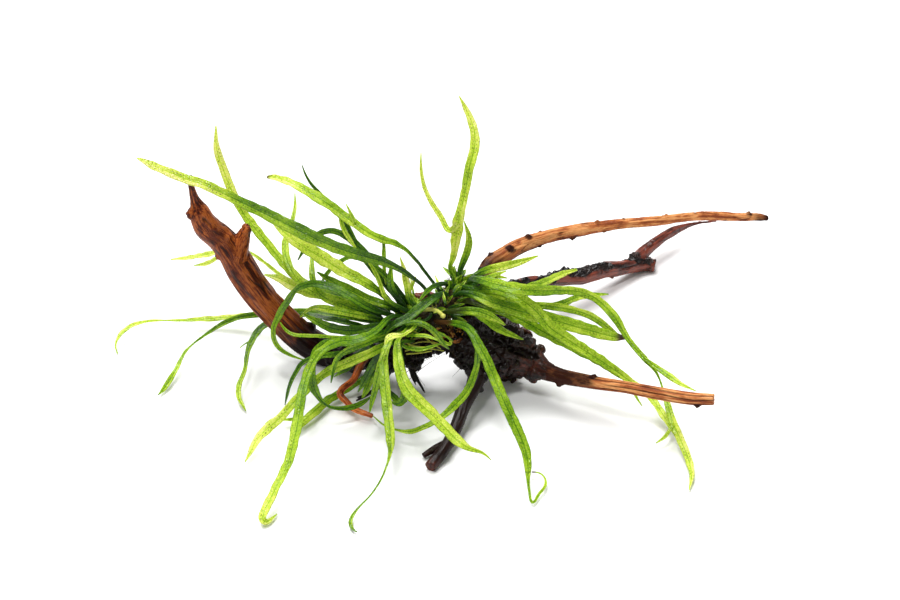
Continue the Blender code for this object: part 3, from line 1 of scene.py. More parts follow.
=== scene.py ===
"""The looks of a java fern that grows on a branching piece of driftwood.

The CAD model gives each limb, the rhizome and each frond as a plain solid.
Here every one of them is replaced by its finished form: fronds are thin
ribbons with a midrib, side veins and a waved margin, the wood has grain,
knots, cracks and a crumbly hub, and roots, moss and scales are added.

Routes are picked on the photograph, in its 900 x 600 frame.  Each
point is (across, down, height, width): the pixel, the height over the
ground in millimetres, and the width or thickness there in millimetres.
"""

import json
import logging
import math
import random
from collections.abc import Callable
from dataclasses import dataclass, field
from enum import Enum

import bmesh
import bpy
import numpy as np
from bmesh.types import BMesh, BMVert
from bpy.types import Material, Node, Object
from bpy.types import NodeSocket as Socket
from mathutils import Matrix, Vector, noise
from mathutils.bvhtree import BVHTree
from mathutils.geometry import interpolate_bezier

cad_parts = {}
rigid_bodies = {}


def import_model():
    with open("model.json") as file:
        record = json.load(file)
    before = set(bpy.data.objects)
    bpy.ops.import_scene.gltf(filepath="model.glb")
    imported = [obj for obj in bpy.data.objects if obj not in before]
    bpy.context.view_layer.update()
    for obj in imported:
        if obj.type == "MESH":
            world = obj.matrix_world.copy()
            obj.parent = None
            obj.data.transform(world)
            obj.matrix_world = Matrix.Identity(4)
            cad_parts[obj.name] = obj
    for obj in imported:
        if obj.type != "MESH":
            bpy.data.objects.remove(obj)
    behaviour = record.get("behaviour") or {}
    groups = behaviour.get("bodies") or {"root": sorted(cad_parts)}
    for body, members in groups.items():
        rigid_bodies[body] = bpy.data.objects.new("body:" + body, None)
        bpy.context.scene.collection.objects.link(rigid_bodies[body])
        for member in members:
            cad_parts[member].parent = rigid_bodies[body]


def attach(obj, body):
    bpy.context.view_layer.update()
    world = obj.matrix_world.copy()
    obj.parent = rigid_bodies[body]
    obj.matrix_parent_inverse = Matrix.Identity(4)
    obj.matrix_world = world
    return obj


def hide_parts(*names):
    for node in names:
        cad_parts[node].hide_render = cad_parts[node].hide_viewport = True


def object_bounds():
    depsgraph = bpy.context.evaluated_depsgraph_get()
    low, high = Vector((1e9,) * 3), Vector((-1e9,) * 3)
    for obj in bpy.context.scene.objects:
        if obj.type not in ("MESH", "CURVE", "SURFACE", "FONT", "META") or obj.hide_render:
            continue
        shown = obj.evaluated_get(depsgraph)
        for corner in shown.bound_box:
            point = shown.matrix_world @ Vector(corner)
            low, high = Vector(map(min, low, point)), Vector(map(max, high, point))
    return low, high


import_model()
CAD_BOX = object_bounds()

log = logging.getLogger("java_fern")

Route = tuple[tuple[float, ...], ...]

MM = 0.001
ROOT = "root"

# Noise vectors differ from run to run unless they have a seed.
NOISE_SEED = 5

# The real size: 653 pixels in the picture, from tip to tip, stand for 274 mm
# at the middle of the piece.
WIDTH_AT_MIDDLE = 274 * MM
WIDTH_PX = 653
PIXEL = WIDTH_AT_MIDDLE / WIDTH_PX

# Meshes: the least length that is divided by, what counts as one point, how
# many points are compared at a time, how far apart a limb's sections are, how
# many millimetres a fork's grain starts past its limb's, and how often a skin
# is smoothed.
TINY = 1e-12
SEAM_GAP = 1e-7
BATCH = 20000
SECTION_STEP = 1.0 * MM
FORK_OFFSET = 50
SMOOTHING_ROUNDS = 3

# Where the picture was taken from.
PICTURE_SIZE = (900, 600)
PICTURE_CENTRE = (450.0, 300.0)
VIEW_DISTANCE = 800 * MM
VIEW_ELEVATION = math.radians(33)
VIEW_TARGET = Vector((1, 6.45, 30)) * MM
SENSOR_WIDTH_MM = 36.0

# Smooth curves through routes.
SAMPLE_STEP = 1.5 * MM
CURVE_STEPS = 12

# The room that fronds keep from one another, the wood and the ground, as in
# the CAD model.
TIP_CLEARANCE = 0.6 * MM
LEVEL_SHARE = 0.2
CROSSING_GAP = 1.6 * MM
CROSSING_TILT = 0.42
CROSSING_MARGIN_PX = 1.6
SIDE_GAP = 0.9 * MM
LIMB_ROOM = 1.12
NEAR_REACH = 8 * MM
SCAR_REACH = 2.5 * MM

# How they give way to make that room.
BEND_LENGTH = 9 * MM
LARGEST_SHIFT = 16 * MM
ORDER_STAGES = 4
PARTING_STAGES = 4
STAGE_ROUNDS = 30
SETTLING_RATE = 0.6
SMOOTHING = 0.35

# Their stalks, and the feet of their lobes.
STALK_LENGTH = 15 * MM
STALK_ROOT = 5 * MM
STALK_WIDTH = 1.9 * MM
STALK_LEAD = 2.6 * MM
LEAD_SHARE = 0.4
LOBE_ROOT = 5 * MM
LOBE_FOOT_SHARE = 0.55

# The leaf scars on the rhizome.
GAP = 0.3 * MM
SCAR_RISE = 1.1
SCAR_WIDTH = 1.1 * MM
SCAR_SPACING = 2.7 * MM
SCAR_MARGIN = 3 * MM
FIRST_SCAR = 2 * MM
SCAR_BEND_COST = (1.4, 0.7)
SCAR_ANGLES_DEG = (-118, -84, -50, -16, 18, 52, 86, 120)
SWAP_ROUNDS = 4

UP = Vector((0, 0, 1))
VIEW_RIGHT = Vector((1, 0, 0))
VIEW_FORWARD = Vector((0, math.cos(VIEW_ELEVATION), -math.sin(VIEW_ELEVATION)))
VIEW_UP = Vector((0, math.sin(VIEW_ELEVATION), math.cos(VIEW_ELEVATION)))
EYE = VIEW_TARGET - VIEW_FORWARD * VIEW_DISTANCE
FOCAL_PX = VIEW_DISTANCE / PIXEL
TO_VIEWER = -VIEW_FORWARD
BLADE_FACING = (TO_VIEWER * 0.7 + UP * 0.3).normalized()


def sight_line(across: float, down: float) -> Vector:
    """Direction from the eye through a pixel, one unit deep."""
    side = VIEW_RIGHT * ((across - PICTURE_CENTRE[0]) / FOCAL_PX)
    rise = VIEW_UP * ((PICTURE_CENTRE[1] - down) / FOCAL_PX)
    return VIEW_FORWARD + side + rise


def spot(across: float, down: float, height_mm: float) -> Vector:
    """The point that is seen at a pixel and lies at a height."""
    line = sight_line(across, down)
    depth = (height_mm * MM - EYE.z) / line.z
    return EYE + line * depth


def picked(route: Route) -> tuple[list[Vector], list[float]]:
    """A route's points in space, and its widths in metres."""
    knots = [spot(across, down, height) for across, down, height, _ in route]
    return knots, [width * MM for *_, width in route]


def unit(vectors: np.ndarray) -> np.ndarray:
    """Scales each vector to length one."""
    return vectors / np.maximum(np.linalg.norm(vectors, axis=1), TINY)[:, None]


def headings(points: np.ndarray) -> np.ndarray:
    """Unit tangents of a run of points."""
    return unit(np.gradient(points, axis=0))


def resampled(places: np.ndarray, along: np.ndarray, values: np.ndarray) -> np.ndarray:
    """A run of points, read at other places along it."""
    return np.stack([np.interp(places, along, values[:, axis]) for axis in range(3)], axis=1)


# --------------------------------------------------------------------------
# The wood's routes
# --------------------------------------------------------------------------

LEFT_ARM = (
    (350, 358, 8, 11.4), (328, 353, 4.2, 12.4), (304, 340, 12, 12.6), (283, 320, 22, 12.6),
    (262, 297, 33.5, 12.8), (241, 268, 48.5, 12.8), (232, 253, 56, 12), (220, 238, 63, 11.4),
    (207, 226, 70, 11.2), (199, 210, 78, 8.2), (195, 200, 83, 4.4), (191.5, 190, 88, 2.9),
    (190, 182, 91.5, 1.8), (190.5, 175, 95, 0.8),
)
LEFT_ARM_STUB = (
    (238, 255, 56, 9), (243, 239, 62.5, 6.8), (246, 231, 66, 5), (247.5, 225.5, 68.6, 3.8),
)

HUB_SPINE = (
    (349, 358, 8, 11.4), (375, 353, 11.5, 12), (403, 350, 16, 12), (424, 346, 19, 10.5),
    (441, 340, 21.5, 11), (457, 339, 22, 16), (476, 345, 21, 23), (505, 350, 18.5, 24),
    (528, 360, 14.6, 13.4), (545, 371, 13.4, 7.4),
)
HUB_LUMPS = (
    (470, 312, 26, 16), (495, 329, 24, 14), (511, 339, 20, 11), (531, 350, 17, 7.6),
    (438, 331, 26, 12), (414, 338, 22, 11), (484, 365, 12, 13), (508, 369, 5, 11.4),
    (533, 373, 10, 8), (504, 326, 25, 8), (414, 360, 16, 8.5),
)
HUB_SPIKE = ((512, 331, 23, 5), (521, 333, 22, 3.4), (529, 334, 21.5, 1.0))

REAR_UPPER_BRANCH = (
    (486, 305, 24, 11), (484, 286, 30, 8.8), (490, 266, 35, 7.4), (502, 257, 37, 7.2),
    (520, 246, 38, 6.8), (550, 236, 38, 5.8), (580, 230, 38, 5.6), (620, 224, 38, 4.5),
    (660, 220.5, 37.5, 4.0), (700, 216, 36.5, 3.9), (740, 217, 34.5, 3.7), (760, 217.5, 33.6, 3.2),
    (768, 218.5, 33.2, 2.0),
)
REAR_LOWER_BRANCH = (
    (492, 314, 19, 10), (501, 293, 18.5, 7.4), (522, 284, 17.5, 5.2), (545, 281, 16, 5.2),
    (562, 277, 14.5, 7.4), (582, 275.5, 12.5, 8.0), (602, 270.5, 10, 7.6), (622, 267.5, 6.6, 7),
    (643, 263.5, 3.6, 7.6), (655, 266, 2.6, 5.4),
)
REAR_LOWER_FORK = (
    (630, 265, 5.4, 6), (645, 251, 7.5, 5.8), (655, 243, 8.6, 5.4), (665, 236, 9, 4.6),
    (676, 230, 9, 3.6), (690, 224.7, 8.6, 2.2), (704, 222.3, 8.2, 1.5), (717, 221, 7.4, 0.8),
)
FRONT_RIGHT_BRANCH = (
    (536, 368, 13.5, 8.6), (560, 376, 13.6, 6.4), (580, 380, 15, 5.8), (600, 383.5, 17, 5.2),
    (625, 387, 19.5, 4.8), (656, 393, 22, 5.2), (690, 398.5, 24, 5.2), (714, 399.5, 25.4, 4.6),
)
FRONT_LEG = (
    (480, 366, 16, 9), (474, 385, 12.6, 6.6), (465, 403, 9.6, 5.6), (455, 430, 6, 5.2),
    (443, 451, 3.6, 5), (430, 467, 2.1, 4.8),
)
FRONT_LEG_TOE = ((452, 442, 4.8, 4), (437, 448, 3.2, 3.4), (423, 456, 1.6, 2.2))
RED_TWIG = (
    (368, 352, 15, 4.4), (360, 366, 13, 3.2), (353, 380, 11, 2.8), (340, 392, 7, 3),
    (346, 401, 5.6, 2.7), (354, 409, 4.4, 2.6), (373, 416, 3, 2.0),
)
DARK_TWIG = ((393, 360, 13, 4), (381, 384, 8.4, 2.2), (368, 394, 5.5, 1.8), (356, 401, 3, 1.0))
ROOT_TWIG = ((408, 356, 14, 4.4), (412, 370, 10.6, 3), (418, 381, 7, 2.4), (425, 393, 3, 1.2))

# Where along its route each limb parts from the hub, in millimetres.
LEFT_ARM_PARTING = 9
REAR_UPPER_PARTING = 14
REAR_LOWER_PARTING = 11
FRONT_RIGHT_PARTING = 6.5
FRONT_LEG_PARTING = 10
RED_TWIG_PARTING = 7
DARK_TWIG_PARTING = 6
ROOT_TWIG_PARTING = 6

# Small knots on the limbs: share of the length, turn round it in degrees, size in mm.
REAR_UPPER_KNOTS = (
    (0.187, 112, 3.4), (0.262, 140, 3.2), (0.402, 24, 3.0), (0.482, 146, 3.0), (0.94, 140, 2.6),
)
REAR_LOWER_KNOTS = (
    (0.296, 128, 3.6), (0.5, 150, 4.0), (0.64, 115, 3.0), (0.97, 130, 4.0),
)
FRONT_RIGHT_KNOTS = ((0.15, 6, 3.8), (0.34, 165, 2.8), (0.92, 6, 3.2))
LEFT_ARM_KNOTS = ((0.86, 160, 5.0), (0.24, 10, 4.8), (0.67, 175, 3.4))

RHIZOME = (
    (384, 332, 28.5, 6.4), (396, 326, 30.5, 8.2), (412, 321, 32.6, 8.6), (432, 317, 35.4, 9.6),
    (447, 306, 36.5, 9.4), (454, 293, 36.5, 8.4), (459, 280, 36, 5.4),
)
YOUNG_SHOOT = (
    (425, 310, 41.5, 1.6), (433, 309, 43, 1.8), (440, 312, 42.5, 1.5), (443, 316, 41.5, 0.7),
)


# --------------------------------------------------------------------------
# The fronds, from the rearmost to the nearest: where two cross in the
# picture, the later one passes in front
# --------------------------------------------------------------------------

@dataclass(frozen=True)
class Frond:
    """One frond: its route from stalk to tip, and the lobes that fork off it.

    A lobe is (index of the route's point where it leaves, its own route).
    Tone runs from 0, pale yellow-green, to 1, dark green, and shades are the
    tones at the base, in the middle and at the tip.  Halves says how much
    darker the half on the side's side of the midrib is: painted shade on one
    half of the blade and painted light on the other.  Brown_tip says how many
    millimetres of the tip have died, and brown_and_shaded_foot how brown the foot of the
    stalk is, partly dead colour and partly painted shade in the crown.
    """

    name: str
    route: tuple
    lobes: tuple = ()
    tone: float = 0.5
    roll: float = 0.0
    turn: float = 0.0
    shades: tuple = (0.7, 0.5, 0.2)
    brown_tip: float = 0.0
    halves: float = 0.0
    brown_and_shaded_foot: float = 0.0


BEHIND_ARM = (
    Frond("far_left_pale_frond", (
        (335, 293, 43, 3), (300, 286, 45, 3), (279, 276, 46, 1.8), (263, 262, 46.5, 1.5),
        (250, 253, 46.5, 1.6), (228, 251, 44, 2.6), (205, 255, 37, 2.8), (187, 258, 30, 2.4),
        (171, 259.5, 25, 0.7)),
        lobes=((5, ((217, 258, 37, 2), (206, 263.5, 32, 2.2), (194, 265.5, 28, 0.6))),),
        tone=0.1, roll=10, shades=(0.5, 0.15, 0.05)),
    Frond("far_left_broad_frond", (
        (330, 296, 42, 4), (310, 292, 41, 5), (295, 287, 39, 5), (278, 280, 37, 3.4),
        (263, 276, 34, 0.8)),
        tone=0.12, roll=-8, shades=(0.5, 0.2, 0.1)),
    Frond("upright_left_frond", (
        (345, 297, 47, 3.4), (325, 293, 49, 3.8), (304, 283, 51, 3.8), (284, 264, 54, 3.8),
        (263, 238, 60, 3.8), (245, 216, 66, 3.8), (236, 200, 72, 3.8), (225, 174, 81, 3.6),
        (217, 150, 91, 3.2), (216, 126, 101, 0.6)),
        tone=0.25, roll=12, turn=-20, shades=(0.75, 0.3, 0)),
    Frond("left_floor_frond_long", (
        (335, 309, 30, 2.4), (300, 311, 21, 2.4), (275, 314, 13, 2.4), (250, 315.5, 8, 2.8),
        (225, 317.5, 5.5, 3), (205, 319, 5, 2.8), (180, 320.5, 5, 1.4), (165, 320.5, 5, 0.8),
        (150, 321, 5.5, 1.4), (135, 324, 6, 2.2), (122, 332, 5, 2.2), (116, 342, 3.5, 1.2),
        (115.5, 349, 2.2, 0.6), (118, 354, 1.4, 0.4)),
        tone=0.15, roll=15, shades=(0.5, 0.2, 0.15)),
    Frond("left_floor_frond_drooping", (
        (335, 315, 29, 3), (300, 312, 22, 3), (275, 313, 19, 2.8), (253, 315, 16, 2.8),
        (238, 317.5, 14.5, 2.4), (222, 324, 12, 2.2), (205, 335, 9.5, 1.2), (193, 344, 8, 0.8),
        (185, 352, 6.5, 1.4), (177, 368, 4, 2), (168, 383, 2.4, 2.6), (163, 390, 1.8, 2),
        (158, 395, 1.3, 0.4)),
        tone=0.55, roll=-12, turn=20, shades=(0.6, 0.55, 0.3)),
    Frond("left_floor_frond_hooked", (
        (340, 320, 28, 2.6), (305, 317, 22, 2.6), (280, 320, 18, 2.6), (263, 327, 14.5, 3.2),
        (252, 341, 12.5, 3.2), (247, 355, 11, 2), (245, 370, 8.5, 1.8), (239, 385, 6, 2.2),
        (238.5, 397, 4, 2.2), (243, 406, 2.5, 1.4), (246, 411, 1.4, 0.4)),
        lobes=((4, ((246, 343, 12, 0.7), (240, 348, 11.2, 0.4))),),
        tone=0.75, roll=8, turn=-25, shades=(0.9, 0.7, 0.25)),
)

MIDDLE_REAR = (
    Frond("left_pale_blade", (
        (340, 300, 42, 3.2), (315, 293, 44, 3.2), (298, 280, 46, 3), (288, 263, 49, 3),
        (285, 248, 53, 3), (287, 235, 57, 2.6), (292, 222, 62, 2), (295, 208, 66, 1.6),
        (295, 193, 71, 0.4)),
        tone=0.2, roll=-10, shades=(0.6, 0.3, 0.1)),
    Frond("left_grey_blade", (
        (368, 265, 56, 2.2), (347, 226, 72, 2.2), (332, 206, 78, 2.2), (318, 192, 84, 1.8),
        (310, 183, 88, 1.4), (305, 174, 91, 1), (302, 165, 94, 0.4)),
        tone=0.9, roll=20, shades=(0.7, 0.7, 0.7)),
    Frond("left_upright_blade", (
        (345, 305, 41, 3), (325, 298, 42, 3), (314, 285, 45, 2.6), (312, 268, 50, 2.4),
        (312, 245, 56, 0.4)),
        tone=0.35, roll=-15, shades=(0.6, 0.4, 0.3)),
    Frond("tall_side_frond", (
        (459, 273, 43, 2.2), (464, 260, 48, 3), (469, 245, 54, 3), (468, 234, 59, 2.4),
        (464, 221, 65, 0.4)),
        tone=0.6, roll=18, shades=(0.4, 0.3, 0.15)),
    Frond("tall_frond", (
        (449, 270, 46, 1.5), (454, 256, 52, 2.8), (456, 240, 60, 4.4), (458, 225, 68, 5.2),
        (461, 210, 75, 3.8), (464, 197, 80, 3.6), (467, 182, 86, 3.6), (470, 165, 93, 4),
        (474, 150, 98, 4), (475, 135, 103, 3.6), (471, 120, 108, 3), (466, 109, 112, 2.2),
        (459, 96, 117, 0.4)),
        lobes=((3, ((449, 231, 64, 2.4), (441, 217, 68, 2.4), (431, 202, 74, 2.2),
                    (424, 186, 80, 1.8), (421, 170, 86, 1.4), (421, 153, 93, 0.4))),),
        tone=0.35, roll=-8, turn=25, shades=(0.05, 0.25, 0)),
    Frond("right_pale_frond", (
        (477, 274, 43, 2.6), (490, 269.5, 43, 3.4), (505, 266, 43, 3.8), (520, 262, 43, 3),
        (538, 256, 43, 0.6)),
        tone=0.15, roll=10, shades=(0.4, 0.22, 0.08)),
    Frond("right_small_forked_frond", (
        (480, 280, 42, 2.2), (493, 276, 41, 2.8), (506, 271, 40, 0.6)),
        lobes=((1, ((500, 277, 40, 1.6), (507, 278, 39, 0.5))),),
        tone=0.25, roll=-12, shades=(0.5, 0.3, 0.15)),
)

RIGHT_FRONDS = (
    Frond("right_forked_frond", (
        (470, 290, 44, 2.8), (495, 298, 46, 4), (520, 304, 45, 4), (545, 306, 43, 3.2),
        (568, 309, 40, 3.2), (590, 315.5, 35, 3), (603, 324, 31, 3), (618, 335, 26, 1)),
        lobes=((3, ((562, 304, 42, 3), (573, 299, 41, 3), (590, 295, 39, 2.8),
                    (609, 294, 37, 0.5))),),
        tone=0.45, roll=14, shades=(0.5, 0.34, 0.3)),
    Frond("right_lower_frond", (
        (466, 299, 42, 3), (485, 304, 42, 4.6), (505, 312, 41, 5), (525, 322, 38, 5),
        (548, 334.5, 33, 4.8), (570, 346, 28, 4.6), (592, 358, 23, 4), (612, 370, 17, 3),
        (628, 382, 11, 1)),
        tone=0.85, roll=-14, turn=15, shades=(0.6, 0.45, 0.45), brown_and_shaded_foot=0.4),
    Frond("right_brown_tipped_frond", (
        (470, 295, 44, 3), (495, 303, 46, 5), (520, 311, 44, 5.4), (545, 318, 40, 5.6),
        (570, 325, 35, 5.8), (595, 332, 29, 5.2), (615, 337, 24, 3.6), (626, 338, 21, 1.2)),
        tone=0.6, roll=6, shades=(0.5, 0.4, 0.32), brown_tip=7.5),
    Frond("right_middle_frond", (
        (472, 285, 46, 3), (500, 289, 49, 5), (519, 298, 48, 5.2), (537, 312, 44, 5),
        (549, 327, 39, 5), (565, 338, 34, 5), (588, 353, 28, 4.8), (610, 367, 22, 4.2),
        (628, 380, 15.5, 3.6), (641, 389, 11, 2.8), (653, 400, 8.5, 3), (663, 415, 6.5, 3.2),
        (671, 428, 5, 2.4), (675, 436, 4.2, 0.6)),
        lobes=((8, ((635, 395, 9, 1.4), (642, 406, 6, 0.4))),),
        tone=0.3, roll=-6, turn=-20, shades=(0.45, 0.34, 0.15)),
    Frond("right_outer_frond", (
        (470, 282, 44, 3), (495, 285, 47, 5), (520, 290, 47, 5.4), (545, 291, 45, 4.4),
        (574, 291, 42, 3.6), (595, 298, 38, 3.4), (613, 315, 33, 3.8), (628, 339, 26, 2.4),
        (643, 357, 21.5, 2.6), (655, 370, 18, 1.4), (660, 380, 15, 0.8), (663, 390, 13, 1),
        (668, 405, 10, 2.8), (674, 425, 7.5, 3.2), (682, 443, 5.5, 3.4), (689, 460, 3.6, 3.2),
        (692, 476, 2.4, 2.4), (689, 490, 1.4, 0.4)),
        lobes=((2, ((545, 282, 43, 3.2), (560, 275, 41, 3), (576, 270, 39, 1.2))),
               (8, ((662, 371, 20, 2.6), (671, 377, 20, 2.8), (683, 385, 19, 1.8),
                    (696, 391, 18, 0.4))),
               (13, ((665, 437, 5.4, 1.6), (656, 443, 4.4, 0.4)))),
        tone=0.5, roll=10, turn=30, shades=(0.45, 0.4, 0.12)),
)

BEHIND_TWIG = (
    Frond("front_left_crossing_frond", (
        (382, 349, 34, 2.2), (379, 360.5, 20, 2.4), (369, 374, 7.6, 2.8), (353, 385, 4.2, 3),
        (330, 398.5, 4.2, 3.8), (308, 417, 3.8, 4), (298, 427, 3.2, 2.4), (290, 436, 2.4, 0.5)),
        lobes=((5, ((295, 419, 3.6, 1.8), (279, 420, 3.2, 0.5))),),
        tone=0.35, roll=12, shades=(0.85, 0.6, 0.25)),
)

